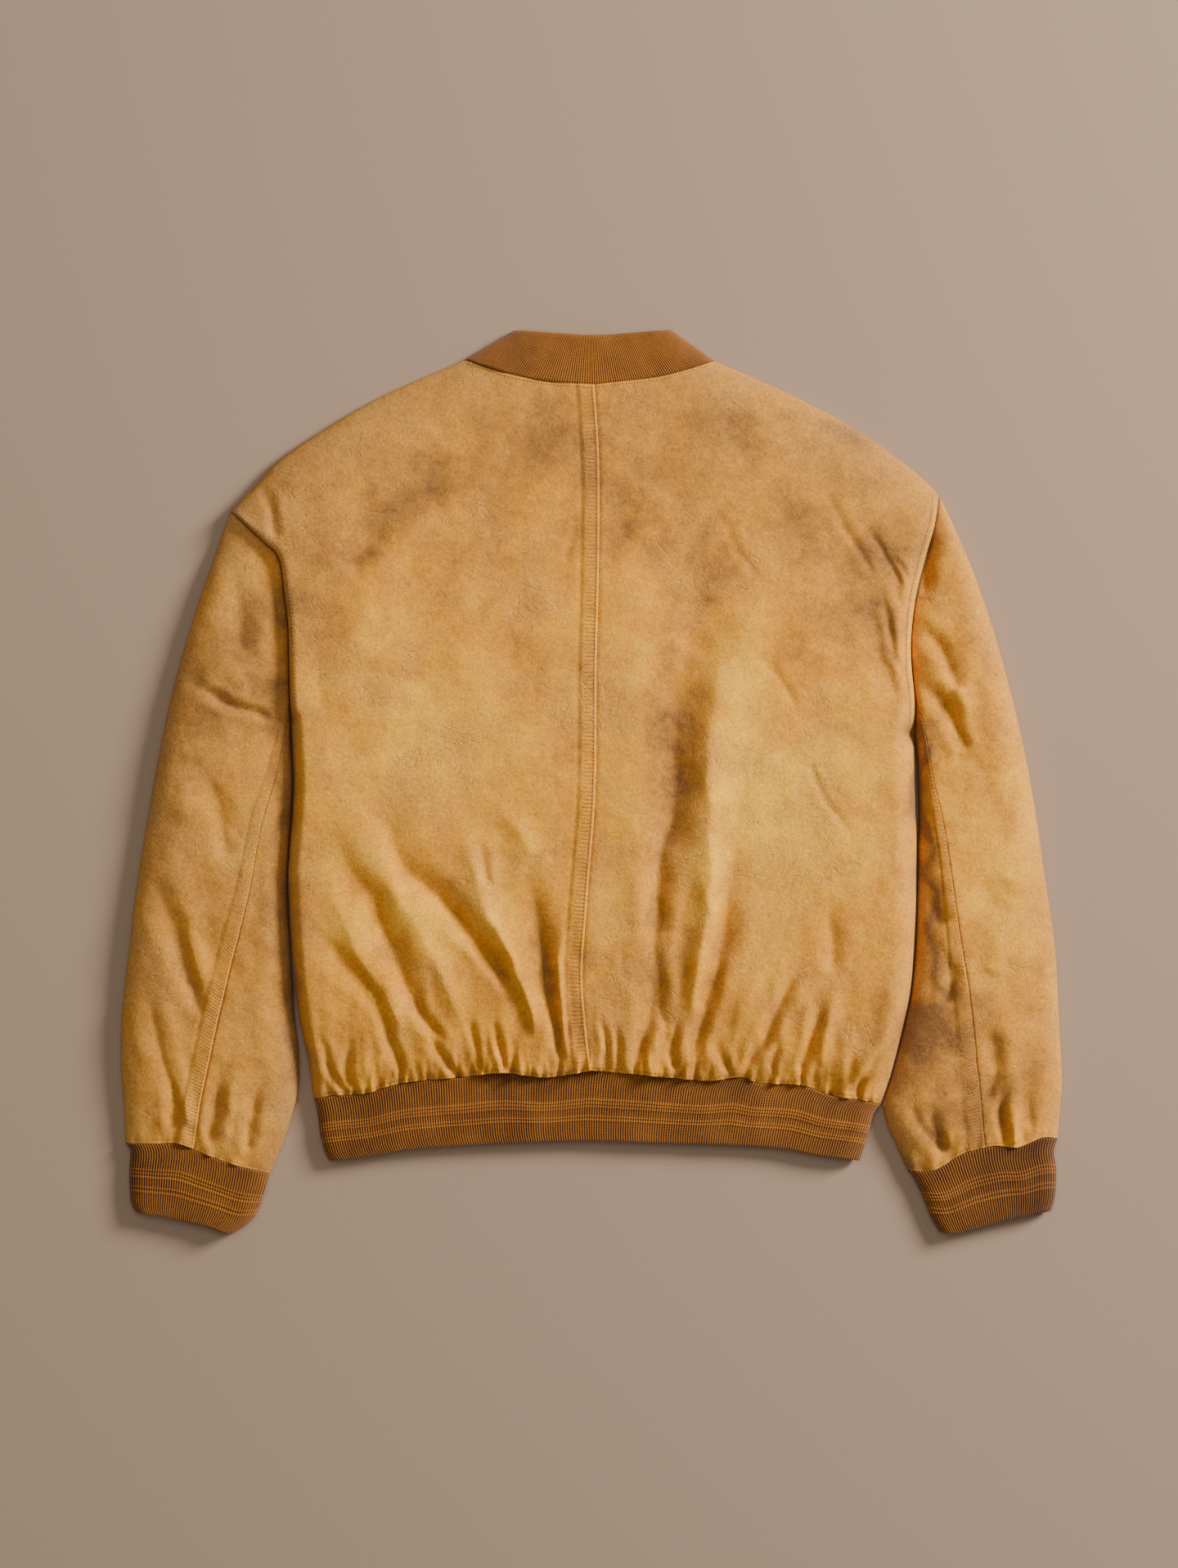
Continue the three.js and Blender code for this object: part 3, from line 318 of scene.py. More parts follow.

# %% [markdown]
# Worn suede keeps its folds. Most of them rise from the hem, where the wide back is eased onto the tighter
# knit band, and lean towards the underarms. They are wide and shallow where they start and narrow and sharp
# near the hem. Each row below is one fold: its height (a valley is negative), half its width at its start and
# at its end, and the points that it runs through.

# %% Folds and creases
BODY_FOLDS = [
    [-4.5, 17, 13, -90, 279, -138, 248, -181, 217, -205, 170],
    [3.0, 20, 26, -112, 232, -165, 203, -192, 158, -200, 90],
    [-1.5, 12, 12, -225, 150, -232, 95, -228, 40], [-1.3, 11, 9, 18, 262, 27, 224, 10, 186],
    [-1.0, 4, 3, -10, 230, -22, 186], [-0.9, 4, 3, 104, 240, 121, 208, 142, 170],
    [-2.0, 8, 6, 190, 318, 212, 303, 232, 288], [-2.0, 8, 5, 222, 232, 248, 196, 268, 140],
    [-2.4, 11, 7, 222, 190, 244, 122, 264, 62], [1.2, 12, 10, 205, 204, 230, 153, 246, 100],
    [-7.0, 30, 5, 104, 214, 84, 118, 74, 44, 70, -20, 58, -72, 58, -150],
    [5.5, 20, 5, 138, 190, 108, 84, 98, 0, 100, -83, 95, -140, 86, -216],
    [-5.5, 12, 4, 124, -45, 116, -100, 106, -164, 84, -240],
    [-3.4, 9, 4, 46, -70, 53, -129, 60, -182, 66, -240],
    [-5.0, 10, 4, 34, -140, 52, -180, 45, -214, 40, -246], [-4.0, 4, 2.5, 72, -196, 70, -222, 69, -250],
    [-3.0, 8, 5, 198, -96, 206, -130, 203, -165], [-5.5, 7, 3, 186, -145, 168, -180, 150, -215, 134, -250],
    [-4.5, 6, 3, 202, -175, 192, -210, 180, -254], [3.0, 8, 4, 268, -190, 244, -232, 220, -262],
    [2.0, 12, 6, 160, -120, 140, -170, 118, -225], [3.0, 8, 4, 218, -150, 205, -200, 196, -250],
    [-4.0, 5, 3, 252, -226, 238, -250, 226, -268],
    [-5.6, 17, 3.6, -232, 20, -186, -27, -159, -70, -123, -104, -94, -140, -62, -184],
    [6.0, 17, 3.6, -122, 0, -108, -52, -94, -96, -75, -137, -54, -186, -48, -225],
    [3.4, 22, 7, -214, 30, -192, -38, -160, -102, -128, -165, -108, -214],
    [-6.5, 10, 3.4, -60, -50, -51, -92, -45, -135, -33, -200, -27, -244],
    [3.6, 5, 2.6, -23, -96, -27, -150, -26, -190, -23, -238],
    [-4.4, 10, 3, -244, -112, -210, -152, -184, -186, -170, -225, -160, -258],
    [-5.0, 14, 3.2, -226, -40, -190, -98, -165, -150, -146, -200, -124, -226],
    [3.2, 14, 5, -240, -60, -206, -130, -178, -185, -160, -215],
    [-2.4, 6, 3, -98, -44, -94, -66, -87, -90], [2.2, 12, 8, -86, -10, -66, -40, -48, -66],
    [-4.4, 4, 2.4, -84, -200, -79, -224, -74, -250], [-3.6, 4, 2.4, -108, -196, -101, -222, -96, -254],
    [-4.4, 4, 2.4, -142, -212, -130, -234, -116, -254], [-3.6, 4, 2.4, -206, -216, -209, -242, -207, -266],
    [-3.2, 4, 2.4, -236, -212, -226, -240, -214, -270], [-3.8, 3, 2.2, 8, -196, 12, -220, 13, -250],
    [-3.4, 3, 2.2, 20, -206, 22, -226, 24, -250], [-2.0, 5, 4, -12, -44, -24, -56, -37, -66],
    [-3.0, 4, 2.4, 104, -212, 112, -234, 118, -256], [-3.0, 4, 2.4, 158, -214, 156, -236, 160, -258],
    [-1.0, 4, 3, 128, 120, 158, 92, 176, 60], [-1.0, 3, 2.4, 226, -56, 204, -24, 186, 16],
    [-3.0, 5, 4, -288, 268, -277, 238, -268, 206], [-1.6, 4, 3, 196, 250, 222, 212, 240, 176],
    [-1.2, 3, 2.4, 240, 176, 254, 132, 262, 96], [-1.6, 3, 2.2, 232, 228, 250, 196, 266, 162],
    [-1.3, 2.6, 2, 250, 206, 262, 186, 272, 168], [-1.8, 3.4, 2.4, 244, 168, 258, 124, 268, 84],
]
SLEEVE_FOLDS = {
    "left": [
        [-3.6, 11, 8, -309, 184, -300, 148, -303, 108], [-4.4, 5, 3, -352, 88, -312, 67, -272, 56],
        [1.4, 10, 8, -338, 110, -316, 92, -292, 80],
        [-4.6, 13, 5, -380, -50, -364, -105, -344, -165, -336, -205],
        [3.0, 11, 6, -360, -80, -344, -130, -334, -176],
        [-4.6, 9, 4, -390, -150, -374, -215, -358, -262, -352, -306],
        [3.0, 8, 5, -376, -196, -360, -250, -340, -300], [-3.6, 6, 3, -316, -240, -320, -276, -328, -314],
        [-3.6, 7, 3, -276, -236, -288, -280, -296, -322], [2.4, 8, 4, -300, -220, -306, -262, -312, -312],
        [-2.6, 10, 6, -330, 20, -316, -30, -310, -70],
    ],
    "right": [
        [-4.4, 6, 5, 297, 236, 292, 200, 285, 160], [-4.6, 6, 5, 279, 143, 298, 112, 316, 78],
        [-5.0, 8, 5, 279, 90, 302, 66, 322, 26], [2.6, 7, 6, 284, 122, 306, 92, 326, 58],
        [-3.4, 9, 6, 284, -80, 292, -104, 302, -126], [-4.4, 9, 5, 296, -134, 308, -166, 305, -196],
        [3.0, 14, 10, 366, -92, 352, -128, 336, -168], [-4.4, 6, 4, 272, -262, 284, -296, 306, -322],
        [-4.4, 8, 3, 296, -262, 294, -292, 304, -318], [-4.8, 5, 3, 362, -250, 350, -284, 354, -314],
        [3.2, 6, 4, 368, -266, 361, -292, 360, -314], [-3.2, 10, 6, 330, -190, 346, -236, 340, -276],
        [-2.6, 9, 6, 384, -210, 374, -256, 380, -300],
    ],
}
# Gathers along the hem seam, each row [x, length up from the seam, height]
HEM_GATHERS = [
    [-222, 22, -2], [-203, 34, -3], [-184, 26, -3], [-163, 30, -3], [-140, 20, -2], [-114, 38, -3],
    [-88, 24, 2], [-66, 34, -3], [-44, 24, 2.5], [-27, 30, -2.5], [-11, 22, 2], [10, 28, -3], [24, 24, -2],
    [39, 30, -3], [55, 20, 2], [72, 34, -3], [90, 30, -3], [112, 20, 2], [134, 32, -3], [157, 24, 2],
    [181, 34, -3], [205, 22, -2], [230, 26, -3],
]
GATHER_HALF, GATHER_SCALE, GATHER_POWER = 2.2, 1.2, 1.3
FOLD_DEPTH, FOLD_POWER = 0.95, 1.5
FOLD_START, FOLD_END = 0.55, 0.12
FOLD_WANDER, WANDER_LENGTH, FOLD_SAMPLES = 1.1, 50, 6
# A fold's reach and the place of the trough beside it in half widths, and the trough's share of its height
FOLD_REACH, TROUGH_AT, TROUGH_DEPTH = 3.5, 2.1, 0.2


def fold_relief(folds, plan):
    """Height that the folds add. A fold grows slowly from its start, and the cloth beside it gives way."""
    relief = np.zeros(len(plan))
    wander = [soft_noise(plan, WANDER_LENGTH, seed) for seed in (20, 21)]
    wandered = plan + FOLD_WANDER * np.column_stack(wander)
    for height, start_half, end_half, *line in folds:
        points = np.array(line, float).reshape(-1, 2)
        reach = FOLD_REACH * max(start_half, end_half)
        low, high = points.min(axis=0) - reach, points.max(axis=0) + reach
        near = np.all((wandered > low) & (wandered < high), axis=1)
        distance, share = Edge((points, 1), samples=FOLD_SAMPLES * len(points)).nearest(wandered[near])
        across = distance / (start_half + (end_half - start_half) * share)
        profile = np.exp(-(across**FOLD_POWER)) - TROUGH_DEPTH * bell(across - TROUGH_AT, 1)
        strength = soft_step(share / FOLD_START) * soft_step((1 - share) / FOLD_END)
        relief[near] += FOLD_DEPTH * height * strength * profile
    return relief


def gather_relief(x, from_hem):
    relief = np.zeros(len(x))
    for at, length, height in HEM_GATHERS:
        left = (1 - clamp01(from_hem / length)) ** GATHER_POWER
        relief += GATHER_SCALE * height * left * bell(x - at, GATHER_HALF)
    return relief


print(len(BODY_FOLDS), "folds on the body,", len(HEM_GATHERS), "gathers at the hem")

# %% [markdown]
# Every cloth piece starts as one flat grid. bmesh makes the grid, and a function of the piece's own two
# directions moves each point to its place, so a seam, a fold and the wales of a knit can all be followed.
# The grid lines are given one by one: they lie close together where the cloth turns over an edge.

# %% A cloth piece from a grid
def even_lines(start, end, spacing):
    return np.linspace(start, end, max(2, int(round(abs(end - start) / spacing)) + 1))


def closed_lines(spacing, length, fine):
    """Shares from 0 to 1 in even steps, with finer ones towards both ends as given in mm."""
    ends = np.array(fine) / length
    middle = even_lines(ends[-1], 1 - ends[-1], spacing / length)
    return np.concatenate([ends[:-1], middle, 1 - ends[:-1][::-1]])


def object_from(bm, name):
    """Makes an object of the scene from a bmesh."""
    mesh = bpy.data.meshes.new(name)
    bm.to_mesh(mesh)
    bm.free()
    obj = bpy.data.objects.new(name, mesh)
    bpy.context.collection.objects.link(obj)
    return obj


def store_values(mesh, values):
    """Keeps the values of a piece on its points, and its uv on the corners of its faces."""
    for key, numbers in values.items():
        if key == "uv":
            corners = np.empty(len(mesh.loops), int)
            mesh.loops.foreach_get("vertex_index", corners)
            layer = mesh.uv_layers.new(name="uv")
            layer.data.foreach_set("uv", (numbers * MM)[corners].astype(np.float32).ravel())
        elif key == "lining":
            layer = mesh.attributes.new(key, "FLOAT_VECTOR", "POINT")
            layer.data.foreach_set("vector", (numbers * MM).astype(np.float32).ravel())
        else:
            layer = mesh.attributes.new(key, "FLOAT", "POINT")
            layer.data.foreach_set("value", numbers.astype(np.float32))


def face_outward(mesh, inside):
    """Flips the faces if most of their area faces the point inside."""
    facing, middle = np.empty(len(mesh.polygons) * 3), np.empty(len(mesh.polygons) * 3)
    area = np.empty(len(mesh.polygons))
    for key, numbers in (("normal", facing), ("center", middle), ("area", area)):
        mesh.polygons.foreach_get(key, numbers)
    outward = (facing.reshape(-1, 3) * (middle.reshape(-1, 3) - np.array(inside) * MM)).sum(axis=1)
    if (outward * area).sum() < 0:
        mesh.flip_normals()


def cloth_object(name, columns, rows, place, inside):
    """place(column, row) gives each point in mm and the piece's own values; inside is a point behind it."""
    bm = bmesh.new()
    bmesh.ops.create_grid(bm, x_segments=len(columns) - 1, y_segments=len(rows) - 1, size=0.5)
    flat = np.array([vert.co[:2] for vert in bm.verts]) + 0.5
    obj = object_from(bm, name)
    mesh = obj.data
    column = np.asarray(columns)[np.rint(flat[:, 0] * (len(columns) - 1)).astype(int)]
    row = np.asarray(rows)[np.rint(flat[:, 1] * (len(rows) - 1)).astype(int)]
    points, values = place(column, row)
    mesh.vertices.foreach_set("co", (points * MM).astype(np.float32).ravel())
    store_values(mesh, values)
    mesh.update()
    face_outward(mesh, inside)
    mesh.polygons.foreach_set("use_smooth", np.ones(len(mesh.polygons), bool))
    return obj


def line_piece(obj):
    """Closes a knit piece: a copy of its grid moves to the lining's points and is joined at the rims."""
    bm = bmesh.new()
    bm.from_mesh(obj.data)
    outside = list(bm.verts)
    row = bm.verts.layers.float["row"]
    lining = bm.verts.layers.float_vector["lining"]
    copies = bmesh.ops.duplicate(bm, geom=bm.verts[:] + bm.edges[:] + bm.faces[:])
    for vert in outside:
        copies["vert_map"][vert].co = vert[lining]
    inner_faces = [piece for piece in copies["geom"] if isinstance(piece, bmesh.types.BMFace)]
    bmesh.ops.reverse_faces(bm, faces=inner_faces)
    bmesh.ops.remove_doubles(bm, verts=bm.verts, dist=1e-6)
    rims = [edge for edge in bm.edges if edge.is_boundary]
    ends = [[edge for edge in rims if all(vert[row] == end for vert in edge.verts)] for end in (0, 1)]
    loops = ends if len(ends[0]) + len(ends[1]) == len(rims) else [rims]
    for loop in loops:
        bmesh.ops.bridge_loops(bm, edges=loop)
    for face in bm.faces:
        face.smooth = True
    bm.to_mesh(obj.data)
    bm.free()


def suede_piece(name, columns, rows, place, inside):
    """A cloth piece whose wall lies on the inner side of its grid."""
    piece = cloth_object(name, columns, rows, place, inside)
    wall = piece.modifiers.new("wall", "SOLIDIFY")
    wall.thickness, wall.offset = WALL * MM, -1
    print(name, len(piece.data.polygons), "faces")
    return piece


print("grid lines with fine ends:", closed_lines(10, 50, [0, 2, 5]).round(2))


# %% [markdown]
# The camera looks straight down from over 3 metres with a long lens, as in the photograph, so the jacket
# shows almost no perspective. The floor is plain. A large soft light stands on the right, a little towards
# the collar. A wide weak one overhead and an even light from all round fill the shadows.

# %% Camera, floor and light
LENS, SENSOR = 85, 36
FRAME_HEIGHT = 1.342
CENTRE_X, CENTRE_Y = -0.00175, -0.00245
MID_HEIGHT = 0.02
FLOOR_COLOUR = (0.385, 0.258, 0.168)
FLOOR_Z = -0.0004
WORLD_STRENGTH = 0.18

camera_data = bpy.data.cameras.new("overhead")
camera_data.lens = LENS
camera_data.sensor_width = SENSOR
camera = bpy.data.objects.new("overhead", camera_data)
camera.location = (CENTRE_X, CENTRE_Y, FRAME_HEIGHT * LENS / SENSOR + MID_HEIGHT)
bpy.context.collection.objects.link(camera)
bpy.context.scene.camera = camera


def simple_material(name, colour, roughness):
    material = bpy.data.materials.new(name)
    material.use_nodes = True
    shader = material.node_tree.nodes["Principled BSDF"]
    shader.inputs["Base Color"].default_value = (*colour, 1)
    shader.inputs["Roughness"].default_value = roughness
    return material


def area_light(name, place, size, power):
    light = bpy.data.lights.new(name, "AREA")
    light.shape = "DISK"
    light.size = size
    light.energy = power
    obj = bpy.data.objects.new(name, light)
    obj.location = place
    obj.rotation_euler = (-Vector(place)).to_track_quat("-Z", "Y").to_euler()
    bpy.context.collection.objects.link(obj)


bm = bmesh.new()
bmesh.ops.create_grid(bm, x_segments=1, y_segments=1, size=4, matrix=Matrix.Translation((0, 0, FLOOR_Z)))
floor = object_from(bm, "floor")
floor.data.materials.append(simple_material("floor_paint", FLOOR_COLOUR, 0.9))

area_light("window", place=(3.5, 1.9, 1.85), size=1.5, power=372)
area_light("overhead_fill", place=(-0.2, 0.6, 3.6), size=2.6, power=40)
world = bpy.data.worlds.new("studio")
world.use_nodes = True
background = world.node_tree.nodes["Background"]
background.inputs["Color"].default_value = (1, 1, 1, 1)
background.inputs["Strength"].default_value = WORLD_STRENGTH
bpy.context.scene.world = world
print("camera height:", round(camera.location.z, 3))

# %% [markdown]
# Suede has no single colour. Its nap lies one way or the other and shows as clouds, and clouds of three sizes
# come from noise on Object coordinates. What depends on the cut comes from the mesh. One value is painted
# shade in the valleys and painted highlight on the ridges, following the relief, with painted highlights on
# the seam edges and painted shade in the stitch grooves and beside the gaps. Another is painted shade that
# turns the suede greyer where the cloth rolls down and over the left sleeve, and a third holds the larger
# stains together with painted shade and painted light. The marks of the seam allowance follow two more
# values, the run along a seam and the distance from it.

# %% Node helpers
def node(tree, kind, inputs=None, **settings):
    made = tree.nodes.new(kind)
    for key, value in settings.items():
        setattr(made, key, value)
    for key, value in (inputs or {}).items():
        if isinstance(value, bpy.types.NodeSocket):
            tree.links.new(value, made.inputs[key])
        else:
            made.inputs[key].default_value = value
    return made


def maths(tree, operation, a, b=0.0, c=0.0, clamp=False):
    return node(tree, "ShaderNodeMath", {0: a, 1: b, 2: c}, operation=operation, use_clamp=clamp).outputs[0]


def summed(tree, start, *terms):
    """start plus each term, a pair of a value and its weight."""
    for value, weight in terms:
        start = maths(tree, "MULTIPLY_ADD", value, weight, start)
    return start


def noise(tree, where, scale, detail=3.0, roughness=0.55, distortion=0.0):
    made = node(tree, "ShaderNodeTexNoise", {"Vector": where, "Scale": scale, "Detail": detail,
                                             "Roughness": roughness, "Distortion": distortion})
    return made.outputs["Fac"]


def remap(tree, value, low, high, to_low=0.0, to_high=1.0):
    made = node(tree, "ShaderNodeMapRange", {"Value": value, "From Min": low, "From Max": high,
                                             "To Min": to_low, "To Max": to_high})
    return made.outputs["Result"]


def swing(tree, value):
    """Spreads a noise, which stays near its middle, from -1 to 1."""
    return remap(tree, value, 0.3, 0.7, -1, 1)


def mix(tree, share, a, b, blend="MIX"):
    made = node(tree, "ShaderNodeMix", data_type="RGBA", blend_type=blend)
    for socket, value in ((0, share), (6, a), (7, b)):
        if isinstance(value, bpy.types.NodeSocket):
            tree.links.new(value, made.inputs[socket])
        else:
            made.inputs[socket].default_value = value if socket == 0 else (*value, 1)
    return made.outputs[2]


def attribute(tree, name):
    return node(tree, "ShaderNodeAttribute", attribute_name=name).outputs["Fac"]


def finish_shader(material, colour, relief, strength, depth, settings):
    """Links the colour and a bump of the relief, and sets the shader's other sockets."""
    tree = material.node_tree
    shader = tree.nodes["Principled BSDF"]
    bump = node(tree, "ShaderNodeBump", {"Strength": strength, "Distance": depth, "Height": relief})
    tree.links.new(colour, shader.inputs["Base Color"])
    tree.links.new(bump.outputs["Normal"], shader.inputs["Normal"])
    for key, value in settings.items():
        shader.inputs[key].default_value = value


print("node helpers ready:", [helper.__name__ for helper in (maths, summed, noise, remap, mix, attribute)])


# %% Suede
SUEDE_TAN = (0.75, 0.298, 0.026)
SUEDE_LIGHT = (1.0, 0.50, 0.038)
SUEDE_BROWN = (0.255, 0.107, 0.031)
SUEDE_ROSE = (0.58, 0.255, 0.070)
SUEDE_GREY = (0.40, 0.205, 0.072)
SUEDE_ROUGHNESS = 0.95
SUEDE_SHEEN = {"Specular IOR Level": 0.15, "Sheen Weight": 0.06, "Sheen Roughness": 0.55,
               "Sheen Tint": (1.0, 0.6, 0.22, 1)}
# How much each value lightens the suede, or darkens it where negative
# The fourth weight lightens or darkens by painted light and shade, the fifth by stains with painted shade and
# light
CLOUD_TONE, PATCH_TONE, MOTTLE_TONE, PAINTED_SHADING_TONE, STAIN_AND_LIGHT_TONE = 0.26, 0.3, 0.17, 0.42, -0.5
ROSE_MOST, MARK_DARKNESS = 0.42, 0.22
NAP_DARK, NAP_LIGHT = 0.62, 1.38
# Ladder marks of the seam allowance: their pitch in mm, and where their band fades in and out
LADDER_PITCH, LADDER_IN, LADDER_OUT = 3.4, (1.5, 3.5), (12.5, 10.5)


def suede_tone(tree, where, patch, mottle):
    cloud = noise(tree, where, 9, 3, 0.55, 0.6)
    start = maths(tree, "MULTIPLY", swing(tree, cloud), CLOUD_TONE)
    # Painted light and shade, and the stains with their painted shade and light, come from the mesh
    return summed(tree, start, (swing(tree, patch), PATCH_TONE), (attribute(tree, "wear"), PAINTED_SHADING_TONE),
                  (attribute(tree, "stain"), STAIN_AND_LIGHT_TONE), (swing(tree, mottle), MOTTLE_TONE))


def ladder_marks(tree, mottle):
    side = attribute(tree, "seam_side")
    turn = maths(tree, "MULTIPLY", attribute(tree, "seam_run"), 2 * math.pi / LADDER_PITCH)
    ladder = remap(tree, maths(tree, "SINE", turn), 0.1, 0.9)
    band = maths(tree, "MULTIPLY", remap(tree, side, *LADDER_IN), remap(tree, side, *LADDER_OUT))
    return maths(tree, "MULTIPLY", maths(tree, "MULTIPLY", ladder, band), remap(tree, mottle, 0.35, 0.55))


def suede_material():
    material = simple_material("suede", SUEDE_TAN, SUEDE_ROUGHNESS)
    tree = material.node_tree
    where = node(tree, "ShaderNodeTexCoord").outputs["Object"]
    patch = noise(tree, where, 28, 4, 0.6, 0.4)
    mottle = noise(tree, where, 120, 3, 0.6)
    rose = noise(tree, where, 17, 3, 0.6, 0.5)
    coarse_nap = maths(tree, "MULTIPLY", noise(tree, where, 380, 2, 0.7), 0.45)
    nap = summed(tree, coarse_nap, (noise(tree, where, 900, 2, 0.7), 0.55))
    crease = maths(tree, "ABSOLUTE", maths(tree, "SUBTRACT", noise(tree, where, 34, 2, 0.6, 1.5), 0.5))
    crease = maths(tree, "MULTIPLY", remap(tree, crease, 0.0, 0.022, 1, 0), remap(tree, rose, 0.5, 0.62))
    marks = ladder_marks(tree, mottle)

    tone = suede_tone(tree, where, patch, mottle)
    dark = maths(tree, "MULTIPLY", tone, -1.0, clamp=True)
    patchy = remap(tree, patch, 0.35, 0.6, 0.35, 0.85)
    # Painted grey shade from the mesh, broken up by the patches
    grey = maths(tree, "MULTIPLY", attribute(tree, "soil"), patchy, clamp=True)
    colour = mix(tree, maths(tree, "ADD", tone, 0.0, clamp=True), SUEDE_TAN, SUEDE_LIGHT)
    colour = mix(tree, remap(tree, rose, 0.45, 0.65, 0.0, ROSE_MOST), colour, SUEDE_ROSE)
    colour = mix(tree, dark, colour, SUEDE_BROWN)
    colour = mix(tree, grey, colour, SUEDE_GREY)
    speck = remap(tree, nap, 0.3, 0.7, NAP_DARK, NAP_LIGHT)
    speck_colour = node(tree, "ShaderNodeCombineColor", {0: speck, 1: speck, 2: speck}).outputs[0]
    colour = mix(tree, 1.0, colour, speck_colour, "MULTIPLY")
    colour = mix(tree, maths(tree, "MULTIPLY", marks, MARK_DARKNESS), colour, SUEDE_BROWN)

    relief = summed(tree, maths(tree, "MULTIPLY", mottle, 0.65), (nap, 0.45), (marks, -0.5), (crease, -0.35))
    finish_shader(material, colour, relief, strength=0.7, depth=0.0012, settings=SUEDE_SHEEN)
    return material


suede = suede_material()
print("suede nodes:", len(suede.node_tree.nodes))

# %% Rib knit, thread and horn
KNIT_OCHRE = (0.50, 0.166, 0.011)
KNIT_DARK = (0.045, 0.012, 0.002)
KNIT_ROUGHNESS = 0.85
KNIT_SHEEN = {"Specular IOR Level": 0.2, "Sheen Weight": 0.2, "Sheen Roughness": 0.5}
# How much each value lightens the knit, or darkens it where negative. The wale and course terms are painted
# light on the knit's ridges and painted shade in its grooves, and the purl term is a painted highlight on the
# purl rows.
KNIT_BASE, WALE_SHADING, COURSE_SHADING, PURL_HIGHLIGHT, SHADE_LIGHT = 0.06, 0.65, 0.2, 0.3, -0.35
CLOUD_LIGHT, YARN_LIGHT = 0.12, 0.1
WALE_PITCH, COURSE_PITCH = 2.1, 1.5
THREAD_DARK, THREAD_LIGHT = (0.24, 0.11, 0.03), (0.5, 0.27, 0.09)
HORN_DARK, HORN_LIGHT = (0.035, 0.015, 0.007), (0.16, 0.075, 0.03)


def knit_material():
    material = simple_material("rib_knit", KNIT_OCHRE, KNIT_ROUGHNESS)
    tree = material.node_tree
    places = node(tree, "ShaderNodeTexCoord")
    uv = node(tree, "ShaderNodeSeparateXYZ", {0: places.outputs["UV"]})
    across = maths(tree, "MULTIPLY", uv.outputs["X"], 2 * math.pi / (WALE_PITCH * MM))
    along = maths(tree, "MULTIPLY", uv.outputs["Y"], 2 * math.pi / (COURSE_PITCH * MM))
    wale = remap(tree, maths(tree, "COSINE", across), -1, 1)
    loop = maths(tree, "ABSOLUTE", maths(tree, "SINE", maths(tree, "MULTIPLY", across, 0.5)))
    course = remap(tree, maths(tree, "COSINE", maths(tree, "ADD", along, loop)), -1, 1)
    cloud = noise(tree, places.outputs["Object"], 30, 3, 0.6)
    yarn = noise(tree, places.outputs["Object"], 700, 2, 0.6)
    # Painted light and shade of the wales, the loops and the purl rows, with the knit's clouds, yarn and
    # painted shade per piece
    light = summed(tree, maths(tree, "MULTIPLY", course, COURSE_SHADING), (wale, WALE_SHADING),
                   (attribute(tree, "purl"), PURL_HIGHLIGHT), (attribute(tree, "shade"), SHADE_LIGHT),
                   (swing(tree, cloud), CLOUD_LIGHT), (swing(tree, yarn), YARN_LIGHT))
    colour = mix(tree, maths(tree, "ADD", light, KNIT_BASE, clamp=True), KNIT_DARK, KNIT_OCHRE)
    relief = summed(tree, maths(tree, "MULTIPLY", wale, 0.6), (course, 0.5), (yarn, 0.3))
    finish_shader(material, colour, relief, strength=0.6, depth=0.0006, settings=KNIT_SHEEN)
    return material


def thread_material():
    material = simple_material("thread", (0.36, 0.18, 0.055), 0.6)
    tree = material.node_tree
    where = node(tree, "ShaderNodeTexCoord").outputs["Object"]
    colour = mix(tree, noise(tree, where, 1500, 2), THREAD_DARK, THREAD_LIGHT)
    tree.links.new(colour, tree.nodes["Principled BSDF"].inputs["Base Color"])
    return material


def horn_material():
    material = simple_material("button_horn", (0.07, 0.03, 0.012), 0.32)
    tree = material.node_tree
    where = node(tree, "ShaderNodeTexCoord").outputs["Object"]
    stretched = node(tree, "ShaderNodeMapping", {0: where, "Scale": (1, 3, 1)}).outputs[0]
    streaks = noise(tree, stretched, 160, 4, 0.6, 1.2)
    colour = mix(tree, remap(tree, streaks, 0.35, 0.65), HORN_DARK, HORN_LIGHT)
    tree.links.new(colour, tree.nodes["Principled BSDF"].inputs["Base Color"])
    return material


knit = knit_material()
thread = thread_material()
horn = horn_material()
print("materials:", [material.name for material in (suede, knit, thread, horn)])

# %% [markdown]
# The back is cut in two halves with a seam down the middle. Its height comes from a loft along the body,
# rolled down at the side folds and shoulders, and lowered to the armhole seams. The folds, the gathers and a
# little smooth unevenness are added before the roll, so that they fade out where the cloth turns under. At
# the armhole the back's edge laps over the sleeve, turns down to it and is stitched.

# %% The halves' edges
# How much of an edge each part takes; two edges that meet give the same part the same weight
SIDE_PART, ARMHOLE_PART, NECK_PART, SHOULDER_PART = 9, 6, 3, 5
HEM_PART, CUFF_PART, SLEEVE_SEAM_PART, CENTRE_PART = 8, 6, 12, 15


class Half:
    """The edges that one half of the body is cut along; turn is -1 on the left and 1 on the right."""

    def __init__(self, name, turn):
        self.name, self.turn = name, turn
        side, armhole = (SIDE[name], SIDE_PART), (ARMHOLE[name], ARMHOLE_PART)
        neck, shoulder = (NECK[name], NECK_PART), (SHOULDER[name], SHOULDER_PART)
        self.side, self.armhole, self.outline = Edge(side), Edge(armhole), Edge(side, armhole)
        self.neck, self.shoulder, self.top = Edge(neck), Edge(shoulder), Edge(neck, shoulder)
        self.front_neck = Edge((FRONT_NECK[name], NECK_PART))
        self.hem = Edge((HEM[name], HEM_PART))
        self.cuff = Edge((CUFF_SEAM[name], CUFF_PART))
        self.seam = Edge((SLEEVE_SEAM[name], SLEEVE_SEAM_PART))
        self.centre = Edge((CENTRE_BACK, CENTRE_PART)).shifted(turn * SEAM_GAP / 2, 0)


halves = [Half("left", -1), Half("right", 1)]
print("from hem to shoulder:", {half.name: round(half.outline.length) for half in halves}, "mm")
